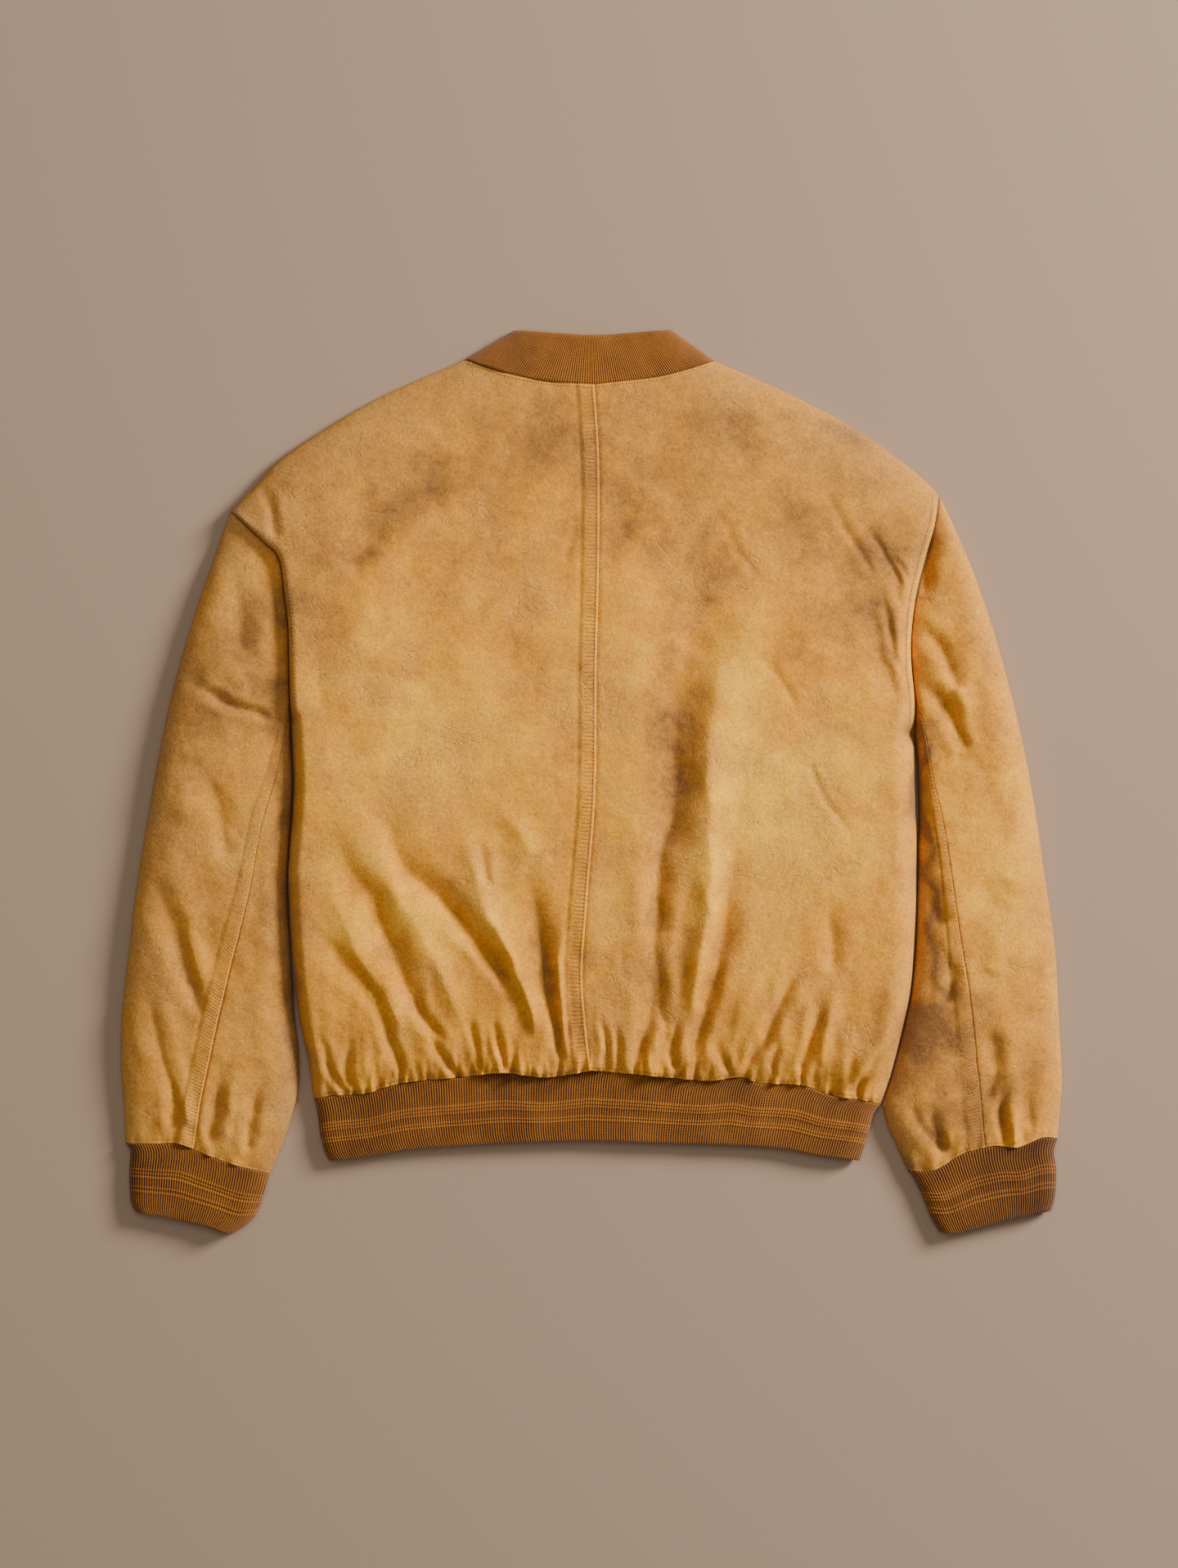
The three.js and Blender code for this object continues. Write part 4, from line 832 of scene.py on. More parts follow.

# %% Stains with painted shade and light, and unevenness

# Stains and nap patches, each row [x, y, half width, half height, turn in degrees, darkness]. Some rows are
# painted shade, beside the gaps between the body and the sleeves and along the back's middle fold, and some
# rows with negative darkness are painted light on the middle of the back, on the ridge beside its middle fold
# and on the right sleeve.
STAINS_AND_PAINTED_LIGHT = [
    [0, 300, 300, 90, 0, 0.55], [-58, 290, 45, 28, 20, 0.7], [-140, 252, 70, 20, 40, 0.8],
    [170, 262, 110, 60, -25, 0.35], [235, 130, 36, 90, 10, 0.35], [300, -230, 40, 70, 10, 1.0],
    [190, 45, 70, 60, 0, -0.4], [-70, -65, 50, 50, 0, -0.4], [-195, -120, 40, 60, 0, -0.3],
    [284, -30, 9, 80, 0, 1.5], [285, 8, 7, 30, 0, 1.2], [282, -150, 9, 70, 0, 1.3],
    [305, -120, 16, 80, -4, 0.5], [-280, 110, 24, 90, 0, 0.7], [-268, -30, 11, 130, 0, 1.3],
    [-258, -210, 9, 60, 0, 1.0], [350, 20, 50, 90, 0, 0.3], [-350, 60, 60, 120, 0, 0.4],
    [28, 226, 16, 44, -4, 0.45], [276, -20, 14, 60, 0, 0.5], [300, -30, 14, 70, -8, 0.7],
    [-252, 60, 12, 160, 0, 0.5], [-205, 90, 26, 60, 5, 0.35], [-60, 215, 40, 40, 0, 0.25],
    [-200, 190, 40, 60, -20, 0.3], [212, 302, 32, 12, -30, 1.5], [243, 135, 15, 80, 17, 0.4],
    [122, 202, 8, 42, 30, 0.45], [120, 230, 90, 50, -20, 0.25], [0, -10, 250, 130, 0, -0.3],
    [-170, 20, 60, 70, 10, -0.9], [-100, 60, 60, 60, 0, -0.5], [24, 190, 14, 50, 0, 0.35],
    [80, 34, 20, 120, 6, 1.05], [78, -70, 16, 90, 5, 0.6], [325, -250, 60, 55, 0, 0.35],
    [132, 40, 26, 120, 5, -1.0], [60, 180, 50, 60, 0, -0.3], [200, 130, 60, 40, -30, 0.45],
    [240, 180, 26, 60, -25, 0.6], [190, -150, 50, 60, 20, 0.15], [60, -150, 40, 60, 0, 0.5],
    [-30, -120, 20, 70, -5, 0.5], [-75, -160, 20, 60, 15, 0.5], [-170, -120, 60, 50, -30, -0.7],
    [100, -60, 40, 60, 0, -0.7], [175, -30, 60, 70, 10, -0.9], [-350, 100, 40, 50, 20, 0.3],
    [-300, 60, 30, 40, 0, 0.5], [-360, -60, 30, 60, 10, 0.3], [-290, -240, 40, 40, 20, 0.5],
    [-300, -60, 30, 60, 0, -0.2], [-380, -270, 30, 50, 0, 0.3], [340, 60, 30, 60, 10, 0.4],
    [350, -100, 30, 70, -10, -0.8], [300, -170, 22, 60, 0, 0.4], [310, -290, 40, 30, 10, 0.4],
    [370, -200, 25, 60, 0, 0.35],
]
STAIN_AND_LIGHT_WANDER, STAIN_AND_LIGHT_WANDER_LENGTH = 9, 70
# Smooth unevenness, each row [height, wavelength, seed]
BACK_WAVES, SLEEVE_WAVES = [[0.5, 75, 3], [0.08, 22, 4]], [[0.5, 50, 7], [0.1, 17, 8]]
# Ripples that start at a gathered seam, each row [height, reach, wavelength, seed, stretch]
BACK_RIPPLES, SLEEVE_RIPPLES = [[1.1, 55, 26, 5, 3.4], [1.15, 9, 7, 6, 4]], [[0.8, 25, 15, 9, 3]]


def stain_and_light_value(plan):
    """Sum of the stains and of the painted shade and painted light in the same table; their edges wander with
    the noise.
    """
    wander = [soft_noise(plan, STAIN_AND_LIGHT_WANDER_LENGTH, seed) for seed in (1, 2)]
    wandered = plan + STAIN_AND_LIGHT_WANDER * np.column_stack(wander)
    total = np.zeros(len(plan))
    for x, y, half_width, half_height, turn, darkness in STAINS_AND_PAINTED_LIGHT:
        away = wandered - [x, y]
        c, s = math.cos(math.radians(turn)), math.sin(math.radians(turn))
        reach = ((away[:, 0] * c + away[:, 1] * s) / half_width) ** 2
        reach += ((away[:, 1] * c - away[:, 0] * s) / half_height) ** 2
        total += darkness * np.exp(-reach)
    return total


def uneven(plan, waves, ripples=(), from_seam=0):
    total = np.zeros(len(plan))
    for height, wavelength, seed in waves:
        total += height * soft_noise(plan, wavelength, seed)
    for height, reach, wavelength, seed, stretch in ripples:
        total += height * fade(from_seam, reach) * soft_noise(plan, wavelength, seed, stretch)
    return total


print("stains:", len(STAINS_AND_PAINTED_LIGHT))

# %% Seams, and painted light and shade at edges
# Relief of this many mm gives full painted highlight on a ridge and full painted shade in a valley
SHADING_RELIEF = 6.0
NO_SEAM = -5.0
BAND_WIDTH, BAND_LIFT, BAND_EDGE = 14.0, 0.8, 1.2
BAND_GROOVE, BAND_GROOVE_AT, BAND_GROOVE_HALF = 0.35, 15.5, 1.8
# A stitched edge gets a painted highlight, and the groove where its stitches pull it down gets painted shade
EDGE_HIGHLIGHT, EDGE_HIGHLIGHT_HALF = 0.7, 1.2
GROOVE_SHADE, GROOVE_AT, GROOVE_HALF = 0.9, 3.3, 0.8
SEAM_DIP_HALF = 2.5


def seam_band(from_seam):
    """The seam allowance under the suede: a flat raised band with a soft groove along its far side."""
    band = BAND_LIFT * soft_step(from_seam / BAND_EDGE) * (1 - soft_step((from_seam - BAND_WIDTH + 1) / 2))
    return band - BAND_GROOVE * bell(from_seam - BAND_GROOVE_AT, BAND_GROOVE_HALF)


def seam_dip(from_seam):
    """The cloth on the seam's other side is pulled down at it."""
    return 1 - soft_step(from_seam / SEAM_DIP_HALF)


# A painted highlight along a stitched edge and painted shade in its stitch groove
def edge_highlight_and_groove_shade(from_edge):
    return EDGE_HIGHLIGHT * bell(from_edge, EDGE_HIGHLIGHT_HALF) - GROOVE_SHADE * bell(from_edge - GROOVE_AT, GROOVE_HALF)


# Painted grey shade near an edge, strongest at it and fading over the reach
def shade_grey_near(distance, most, reach):
    return most * fade(distance, reach)


print("the seam band's height:", seam_band(np.array([0.0, 2.0, 14.0])).round(2), "mm at 0, 2 and 14 mm")

# %% Back halves
HEM_DROP, HEM_DROP_WIDTH = 1.2, 5
# Painted grey shade where the cloth rolls down at the side folds, shoulders and armholes, each pair [most,
# reach]
SIDE_SHADE_GREY, SHOULDER_SHADE_GREY, ARMHOLE_SHADE_GREY = (0.6, 16), (0.8, 45), (0.4, 14)
# Painted highlights along the neck and centre seams, and painted shade in the centre seam's stitch groove
NECK_HIGHLIGHT, CENTRE_HIGHLIGHT, CENTRE_GROOVE_SHADE, CENTRE_GROOVE_AT = 0.8, 0.9, 1.0, 2.3
BAND_SHADE, BAND_SHADE_AT, BAND_SHADE_HALF = 0.5, 14.5, 1.5
CENTRE_DIP = 0.6
# The armhole's roll is tighter over its last part, at the shoulder
TIGHT_SHARE, TIGHTENED = 0.12, 0.75
# The lap over the sleeve: its height, how far its edge turns down, its width and where it starts and ends
ARMHOLE_LAP = {"left": 3.0, "right": 1.8}
ARMHOLE_SINK = {"left": 3.4, "right": 3}
LAP_WIDTH, LAP_STEP, LAP_TURN = 4.2, 4, 1.2
LAP_START, LAP_END = 0.12, 0.1
# Painted highlight on the lap's edge, much stronger on the right, and painted shade in the groove of its
# stitches
LAP_HIGHLIGHT = {"left": 0.2, "right": 1.2}
LAP_STITCH, LAP_GROOVE_SHADE, LAP_HIGHLIGHT_STEP = 5.4, 1.1, 1.6


def armhole_lap(half, armhole, share, rise):
    """What the lap at the armhole adds to the height, and its painted highlight and painted shade."""
    lapped = soft_step(share / LAP_START) * soft_step((1 - share) / LAP_END)
    lap = ARMHOLE_LAP[half.name] * lapped
    down = lap + ARMHOLE_SINK[half.name] * rise
    height = lap * (1 - soft_step((armhole - LAP_WIDTH + LAP_STEP / 2) / LAP_STEP))
    height -= down * (1 - soft_step(armhole / LAP_TURN))
    wear = LAP_HIGHLIGHT[half.name] * (1 - soft_step((armhole - LAP_WIDTH + 1) / LAP_HIGHLIGHT_STEP))
    wear = wear - LAP_GROOVE_SHADE * bell(armhole - LAP_STITCH, GROOVE_HALF)
    return height, wear * lapped


def back_height(half, plan, from_hem):
    """Height of the back at points of the plan, its painted light and shade from the relief and the lap, and
    its painted grey shade.
    """
    side, shoulder = half.side.distance(plan), half.shoulder.distance(plan)
    armhole, share = half.armhole.nearest(plan)
    relief = fold_relief(BODY_FOLDS, plan) + gather_relief(plan[:, 0], from_hem)
    relief += uneven(plan, BACK_WAVES, BACK_RIPPLES, from_hem)
    body = smooth_value(BODY_LOFT, plan[:, 1]) + relief - FOLD_HEIGHT
    rolled = round_rise(side / SIDE_ROLL[half.name]) * round_rise(shoulder / SHOULDER_ROLL)
    lofted = FOLD_HEIGHT + body * rolled
    rise = round_rise(np.minimum(share, 1 - share) * half.armhole.length / SLEEVE_ROLL)
    seam = FOLD_HEIGHT + (ARMHOLE_HEIGHT - FOLD_HEIGHT) * rise
    tight = soft_step((share - 1 + TIGHT_SHARE) / TIGHT_SHARE)
    roll = ARMHOLE_ROLL[half.name] * (1 - TIGHTENED * tight)
    height = seam + (lofted - seam) * np.sin(clamp01(armhole / roll) * math.pi / 2)
    lap_height, lap_shading = armhole_lap(half, armhole, share, rise)
    height += lap_height - HEM_DROP * (1 - round_rise(from_hem / HEM_DROP_WIDTH))
    soil = shade_grey_near(side, *SIDE_SHADE_GREY) + shade_grey_near(shoulder, *SHOULDER_SHADE_GREY) + shade_grey_near(armhole, *ARMHOLE_SHADE_GREY)
    return height, relief / SHADING_RELIEF + lap_shading, soil


def back_place(half):
    plan_at = patch_plan(half.hem.shifted(0, SEAM_GAP / 2), half.top, half.centre, half.outline)

    def place(s, v):
        plan = plan_at(s, v)
        from_hem = half.hem.distance(plan)
        from_centre, centre_share = half.centre.nearest(plan)
        height, relief_shading, soil = back_height(half, plan, from_hem)
        # Painted light and shade from the relief, painted highlights along the hem, neck and centre seam, and
        # painted shade in the stitch grooves
        wear = np.clip(relief_shading, -1, 1.5) + edge_highlight_and_groove_shade(from_hem)
        wear += NECK_HIGHLIGHT * bell(half.neck.distance(plan), EDGE_HIGHLIGHT_HALF)
        if half.turn < 0:
            height += seam_band(from_centre)
            wear += CENTRE_HIGHLIGHT * bell(from_centre, GROOVE_HALF)
            wear -= CENTRE_GROOVE_SHADE * bell(from_centre - CENTRE_GROOVE_AT, GROOVE_HALF)
            wear -= BAND_SHADE * bell(from_centre - BAND_SHADE_AT, BAND_SHADE_HALF)
        else:
            height -= CENTRE_DIP * seam_dip(from_centre)
        values = {
            "wear": wear, "soil": soil, "stain": stain_and_light_value(plan),
            "seam_run": centre_share * half.centre.length,
            "seam_side": from_centre if half.turn < 0 else np.full(len(s), NO_SEAM),
        }
        return np.column_stack([plan, height]), values

    return place


BACK_SPACING, BACK_ROW_SPACING = 1.75, 2.35
BACK_WIDTH, BACK_LENGTH = 262, 610
FINE_EDGE = [0, 0.4, 1.0, 1.8, 2.8, 4.0, 5.5]
back_pieces = {}
for half in halves:
    columns = closed_lines(BACK_SPACING, BACK_WIDTH, FINE_EDGE)
    rows = closed_lines(BACK_ROW_SPACING, BACK_LENGTH, FINE_EDGE)
    name = f"back_{half.name}_suede"
    back_pieces[half.name] = suede_piece(name, columns, rows, back_place(half), (0, 0, -1000))

# %% [markdown]
# The fronts lie flat on the surface under the back and can't be seen from above. They lap over each other
# at the middle, where the buttons are. They are one grid each as well, with coarse lines.

# %% Fronts
FRONT_SPACING = 6
FRONT_WIDTH, FRONT_LENGTH = 270, 570
LAP_CLEAR = 4
# The front's painted grey shade towards its sides, and its share of the stains with their painted shade and
# light
FRONT_WAVE, FRONT_SHADE_GREY, FRONT_STAIN_AND_LIGHT = 0.15, (0.6, 22), 0.7


def front_place(half):
    hem = half.hem.points + [0, SEAM_GAP / 2]
    neck = half.front_neck.points - [0, SEAM_GAP / 2]
    lap_x = -half.turn * LAP_HALF
    start, end = np.array([lap_x, hem[0][1]]), np.array([lap_x, neck[0][1]])
    bottom = Edge.through(np.vstack([start, hem])).even()
    top = Edge.through(np.vstack([end, neck, half.shoulder.points[1:]])).even()
    plan_at = patch_plan(bottom, top, Edge.through([start, end]), half.outline)

    def place(s, v):
        plan = plan_at(s, v)
        side = half.side.distance(plan)
        roll = round_rise(np.minimum(side, half.shoulder.distance(plan)) / UNDER_ROLL)
        past = half.turn * plan[:, 0] - LAP_HALF - LAP_CLEAR
        lift = LAP_LIFT if half.turn < 0 else LAP_LIFT + WALL + SEAM_GAP
        height = (FOLD_HEIGHT - SEAM_GAP) * (1 - roll)
        height += lift * (0.5 + 0.5 * np.cos(math.pi * clamp01(past / LAP_SLOPE)))
        height += FRONT_WAVE * (1 + soft_noise(plan, 60, 6)).clip(0, 2) * roll
        values = {
            "wear": np.zeros(len(s)), "soil": shade_grey_near(side, *FRONT_SHADE_GREY),
            "stain": stain_and_light_value(-plan) * FRONT_STAIN_AND_LIGHT,
            "seam_run": np.zeros(len(s)), "seam_side": np.full(len(s), NO_SEAM),
        }
        return np.column_stack([plan, height]), values

    return place


front_pieces = {}
for half in halves:
    name = f"front_{half.name}_suede"
    columns = closed_lines(FRONT_SPACING, FRONT_WIDTH, FINE_EDGE)
    rows = closed_lines(FRONT_SPACING, FRONT_LENGTH, FINE_EDGE)
    front_pieces[half.name] = suede_piece(name, columns, rows, front_place(half), (0, 0, 1000))

# %% [markdown]
# A sleeve is two skins: the top sleeve goes round the outer edge, the under sleeve round the inner one, and
# they meet in the back seam that shows and in a hidden one below. Each grid runs from the hidden seam round
# its edge to the back seam, so the cloth really turns over at the fold.

# %% Sleeves
SLEEVE_LENGTH = 560
SLEEVE_OUTER_PART = 15
SLEEVE_SEAM_GAP = 0.08
INNER_ROLL, INNER_ROLL_SHARE = {"left": 0, "right": 22}, 0.25
SINK_REACH = 16
# Painted shade at the armhole seam and along the inner edge beside the body, and on the back seam a painted
# highlight on the left sleeve and painted shade on the right one
SEAM_SHADE, SEAM_SHADE_HALF = {"left": 1.4, "right": 2.6}, 3.4
INNER_SHADE = {"left": (1.3, 9), "right": (2.0, 17)}
SEAM_LIGHT_AND_SHADE, SEAM_LIGHT_AND_SHADE_HALF = {"left": 0.4, "right": -1.3}, 0.9
# Painted grey shade over the left sleeve and where a sleeve rolls down at its folds
SLEEVE_SHADE_GREY, FOLD_SHADE_GREY = {"left": 0.32, "right": 0.0}, (0.7, 16)
SLEEVE_DIP = 0.3


def sleeve_plan(half):
    armhole = half.armhole.reversed().moved(lambda share: -half.turn * SEAM_GAP)
    cuff = half.cuff.shifted(0, SEAM_GAP / 2)
    clearance = np.array(SIDE_CLEARANCE[half.name]).T
    beside = half.side.reversed().moved(lambda share: -half.turn * np.interp(share, *clearance))
    outer = np.vstack([armhole.at(0.0), SLEEVE_OUTER[half.name][1:-1], cuff.at(0.0)])
    inner = np.vstack([beside.points, SLEEVE_END[half.name][1:-1], cuff.at(1.0)])
    return patch_plan(armhole, cuff, Edge((outer, SLEEVE_OUTER_PART)), Edge.through(inner).even())


def seam_shares(half, plan_at):
    """Where the back seam crosses the sleeve, as a table of v and s, smoothed over seven rows."""
    vs = np.linspace(0, 1, 61)
    ss = np.linspace(0.02, 0.98, 193)
    grid_v, grid_s = np.meshgrid(vs, ss, indexing="ij")
    distance = half.seam.distance(plan_at(grid_s.ravel(), grid_v.ravel())).reshape(grid_v.shape)
    found = ss[distance.argmin(axis=1)]
    return vs, np.convolve(np.pad(found, 3, mode="edge"), np.ones(7) / 7, mode="valid")


class Sleeve:
    def __init__(self, half):
        self.half = half
        self.plan_at = sleeve_plan(half)
        self.seam_v, self.seam_s = seam_shares(half, self.plan_at)

    def width(self, v):
        ends = [self.plan_at(np.full(len(v), s), v) for s in (0.0, 1.0)]
        return np.hypot(*(ends[1] - ends[0]).T)

    def seam_at(self, v):
        return np.interp(v, self.seam_v, self.seam_s)

    def upper(self, s, v):
        """Points of the sleeve's upper side, and the relief in them."""
        name = self.half.name
        plan = self.plan_at(s, v)
        relief = fold_relief(SLEEVE_FOLDS[name], plan)
        relief += uneven(plan, SLEEVE_WAVES, SLEEVE_RIPPLES, (1 - v) * SLEEVE_LENGTH)
        away_from_ends = soft_step(v / INNER_ROLL_SHARE) * soft_step((1 - v) / INNER_ROLL_SHARE)
        inner_roll = SLEEVE_ROLL + INNER_ROLL[name] * away_from_ends
        width = self.width(v)
        rise = np.minimum(round_rise(s * width / SLEEVE_ROLL), round_rise((1 - s) * width / inner_roll))
        loft = smooth_value(SLEEVE_LOFT, v) - ARMHOLE_SINK[name] * fade(v * SLEEVE_LENGTH, SINK_REACH)
        height = FOLD_HEIGHT + (loft - FOLD_HEIGHT + relief) * rise
        return np.column_stack([plan, height]), relief

    def lower(self, s, v):
        plan = self.plan_at(s, v)
        rise = round_rise(np.minimum(s, 1 - s) * self.width(v) / UNDER_ROLL)
        return np.column_stack([plan, FOLD_HEIGHT * (1 - rise)])

    # Painted shade in the valleys and highlight on the ridges, a highlight and groove shade at the cuff end,
    # and painted shade at the armhole seam and along the inner edge beside the body
    def wear(self, relief, s, v, width):
        name = self.half.name
        darkness, reach = INNER_SHADE[name]
        wear = np.clip(relief / SHADING_RELIEF, -1, 1) + edge_highlight_and_groove_shade((1 - v) * SLEEVE_LENGTH)
        wear -= SEAM_SHADE[name] * bell(v * SLEEVE_LENGTH, SEAM_SHADE_HALF)
        return wear - darkness * fade((1 - s) * width, reach)

    def place(self, edge):
        """edge is 0 for the top sleeve and 1 for the under sleeve; the column is -1 at the hidden seam,
        0 at the fold and 1 at the back seam."""
        def place(column, v):
            name = self.half.name
            width = self.width(v)
            gap = SLEEVE_SEAM_GAP / 2 / width
            to_seam = self.seam_at(v) if edge == 0 else 1 - self.seam_at(v)
            hidden = SLEEVE_FRONT_SEAM if edge == 0 else 1 - SLEEVE_FRONT_SEAM
            share = np.abs(column) * (np.where(column > 0, to_seam, hidden) - gap)
            s = share if edge == 0 else 1 - share
            points, relief = self.upper(s, v)
            points[column < 0] = self.lower(s, v)[column < 0]
            from_seam = (to_seam - share) * width
            over = column > 0
            wear = self.wear(relief, s, v, width) * over
            has_band = (edge == 0) == (self.half.turn < 0)
            if has_band:
                points[:, 2] += over * seam_band(from_seam)
                wear += over * SEAM_LIGHT_AND_SHADE[name] * bell(from_seam, SEAM_LIGHT_AND_SHADE_HALF)
            else:
                points[:, 2] -= over * SLEEVE_DIP * seam_dip(from_seam)
            values = {
                "wear": wear,
                "soil": shade_grey_near(np.minimum(s, 1 - s) * width, *FOLD_SHADE_GREY) + SLEEVE_SHADE_GREY[name],
                "stain": stain_and_light_value(points[:, :2]),
                "seam_run": v * SLEEVE_LENGTH,
                "seam_side": np.where(over & has_band, from_seam, NO_SEAM),
            }
            return points, values

        return place


# Line spacing and widest part of each skin in mm, on the upper side and on the hidden lower one
SLEEVE_SPACING, SLEEVE_ROW_SPACING, SLEEVE_WIDEST = 2.3, 2.4, {"top": 100, "under": 70}
HIDDEN_SPACING, HIDDEN_WIDTH = 7, 65
SLEEVE_FINE = [0, 0.004, 0.012, 0.024, 0.04, 0.06]
SLEEVE_INSIDE = 12
sleeves = {half.name: Sleeve(half) for half in halves}
sleeve_pieces = {}
for half in halves:
    sleeve = sleeves[half.name]
    for edge, (part, widest) in enumerate(SLEEVE_WIDEST.items()):
        upper = even_lines(SLEEVE_FINE[-1], 1, SLEEVE_SPACING / widest)
        lower = even_lines(SLEEVE_FINE[-1], 1, HIDDEN_SPACING / HIDDEN_WIDTH)
        columns = np.concatenate([-lower[::-1], -np.array(SLEEVE_FINE[-2:0:-1]), SLEEVE_FINE[:-1], upper])
        rows = closed_lines(SLEEVE_ROW_SPACING, SLEEVE_LENGTH, FINE_EDGE)
        name = f"sleeve_{half.name}_{part}_suede"
        middle = sleeve.plan_at(np.array([0.5]), np.array([0.5]))[0]
        inside = (*middle, SLEEVE_INSIDE)
        sleeve_pieces[name] = suede_piece(name, columns, rows, sleeve.place(edge), inside)

# %% [markdown]
# The cuffs and the hem band are one knitted tube each, doubled and pressed flat. The wales, fine upright
# ridges two millimetres apart, are real relief here, with rows of purl standing up across them. The grid
# goes once round the tube, and its two ends are merged.

# %% Cuffs and hem band
PURL_ROWS = {"cuff": [0.37, 0.42, 0.47, 0.61, 0.67], "hem": [0.41, 0.46, 0.51, 0.64, 0.69]}
PURL_HALF, PURL_HEIGHT, PURL_CALM = 0.022, 0.8, 0.7
WALE_HEIGHT, WALE_LINES = 0.32, 4
BAND_FOLD_HEIGHT, BAND_ROLL, BAND_ROW_SPACING = 5, 16, 2.4
BAND_WAVES = [[0.35, 60, 10]]
BAND_SHADE_SLOPE = 0.3
CUFF_SHADE = {"left": 0.45, "right": 0.75}
HEM_BAND_SHADE = 0.4
# Height at the seam and at the free end, and a height inside the tube
CUFF_HEIGHTS, HEM_BAND_HEIGHTS, BAND_INSIDE = (13.6, 13), (13.8, 12), 8
BAND_SIDE_PART, CUFF_END_PART, BAND_END_PART = 5, 6, 16
INWARD_STEP = 0.02


def band_side(table):
    (x, y), *rest = table
    return Edge(([[x, y - SEAM_GAP / 2], *rest], BAND_SIDE_PART))


def band_object(name, seam, end, near, far, heights, purls, inside, shade):
    plan_at = patch_plan(seam, end, near, far)
    width = float(np.hypot(*(plan_at([1.0], [0.5]) - plan_at([0.0], [0.5]))[0]))
    depth = float(np.hypot(*(plan_at([0.5], [1.0]) - plan_at([0.5], [0.0]))[0]))
    wales = int(round(width / WALE_PITCH))
    upper = np.linspace(0, 1, WALE_LINES * wales + 1)
    lower = 1 + np.linspace(0, 1, wales // 2 + 1)[1:]
    at_purls = [[purl - PURL_HALF, purl, purl + PURL_HALF] for purl in purls]
    rows = np.concatenate([even_lines(0, 1, BAND_ROW_SPACING / depth), *at_purls])
    rows = np.unique(np.round(rows, 4))

    def place(column, v):
        above = column <= 1
        s = np.where(above, column, 2 - column)
        plan = plan_at(s, v)
        rise = round_rise(np.minimum(s, 1 - s) * width / np.where(above, BAND_ROLL, UNDER_ROLL))
        top = heights[0] + (heights[1] - heights[0]) * v + uneven(plan, BAND_WAVES)
        raised = BAND_FOLD_HEIGHT + (top - BAND_FOLD_HEIGHT) * rise
        plain = np.where(above, raised, BAND_FOLD_HEIGHT * (1 - rise))
        wale = WALE_HEIGHT * np.cos(2 * math.pi * wales * s) * above
        purl = sum(np.maximum(0, 1 - np.abs(v - row) / PURL_HALF) for row in purls) * above
        height = plain + (wale * (1 - PURL_CALM * np.minimum(purl, 1)) + PURL_HEIGHT * purl) * rise
        inward = plan_at(np.where(s < 0.5, s + INWARD_STEP, s - INWARD_STEP), v) - plan
        inward /= np.hypot(*inward.T)[:, None]
        level = np.sqrt(1 - rise**2)[:, None]
        inner_height = plain + RIB_WALL * rise * np.where(above, -1, 1)
        values = {
            "uv": np.column_stack([column * wales * WALE_PITCH, v * depth]), "row": v,
            "shade": shade + BAND_SHADE_SLOPE * (0.5 - s), "purl": purl,
            "lining": np.column_stack([plan + RIB_WALL * level * inward, inner_height]),
        }
        return np.column_stack([plan, height]), values

    piece = cloth_object(name, np.concatenate([upper, lower]), rows, place, inside)
    line_piece(piece)
    return piece


bands = {}
for half in halves:
    seam = half.cuff.shifted(0, -SEAM_GAP / 2)
    end = Edge((CUFF_END[half.name], CUFF_END_PART))
    sides = band_side(CUFF_OUTER[half.name]), band_side(CUFF_INNER[half.name])
    inside = (*(seam.at(0.5) + end.at(0.5)) / 2, BAND_INSIDE)
    bands[half.name] = band_object(
        f"cuff_{half.name}_knit", seam, end, *sides, CUFF_HEIGHTS, PURL_ROWS["cuff"], inside,
        CUFF_SHADE[half.name])
whole_hem = np.vstack([halves[0].hem.points[::-1], halves[1].hem.points[1:]])
seam = Edge.through(whole_hem).shifted(0, -SEAM_GAP / 2).even()
sides = band_side(BAND_SIDE["left"]), band_side(BAND_SIDE["right"])
bands["hem"] = band_object("hem_band_knit", seam, Edge((BAND_END, BAND_END_PART)), *sides, HEM_BAND_HEIGHTS,
                           PURL_ROWS["hem"], (0, -290, BAND_INSIDE), HEM_BAND_SHADE)
print("bands:", [(piece.name, len(piece.data.polygons)) for piece in bands.values()])

# %% [markdown]
# The collar is a strip of the same knit. It starts at the centre front, runs along the front neck below,
# folds up at the side of the neck and passes over the back neck to the other side.

# %% Collar
COLLAR_FOLD_HEIGHT, COLLAR_HEIGHT, COLLAR_FALL, COLLAR_ROLL = 4, 15, 1, 0.16
COLLAR_DEPTH, COLLAR_DROP, COLLAR_DROP_WIDTH = 38, 1.2, 3
COLLAR_WAVES = [[0.25, 60, 12]]
COLLAR_WALE, COLLAR_SHADE, COLLAR_SPREAD = 0.5, 0.12, 0.5
COLLAR_SIDE_LINES, COLLAR_ROWS, COLLAR_FRONT_PART, COLLAR_TOP_PART = 70, 16, 3, 6
COLLAR_INSIDE = (0, 355, 6)
left, right = halves
back_neck = Edge.through(np.vstack([left.neck.points[::-1], right.neck.points[1:]]))
front_tops = {name: Edge((table, COLLAR_FRONT_PART)) for name, table in COLLAR_FRONT_TOP.items()}
# Seam and free edge of the collar's three parts, and the side of the front that each is on, 0 at the back
collar_parts = [
    (left.front_neck, front_tops["left"], -1),
    (back_neck, Edge((COLLAR_TOP, COLLAR_TOP_PART)), 0),
    (right.front_neck.reversed(), front_tops["right"].reversed(), 1),
]


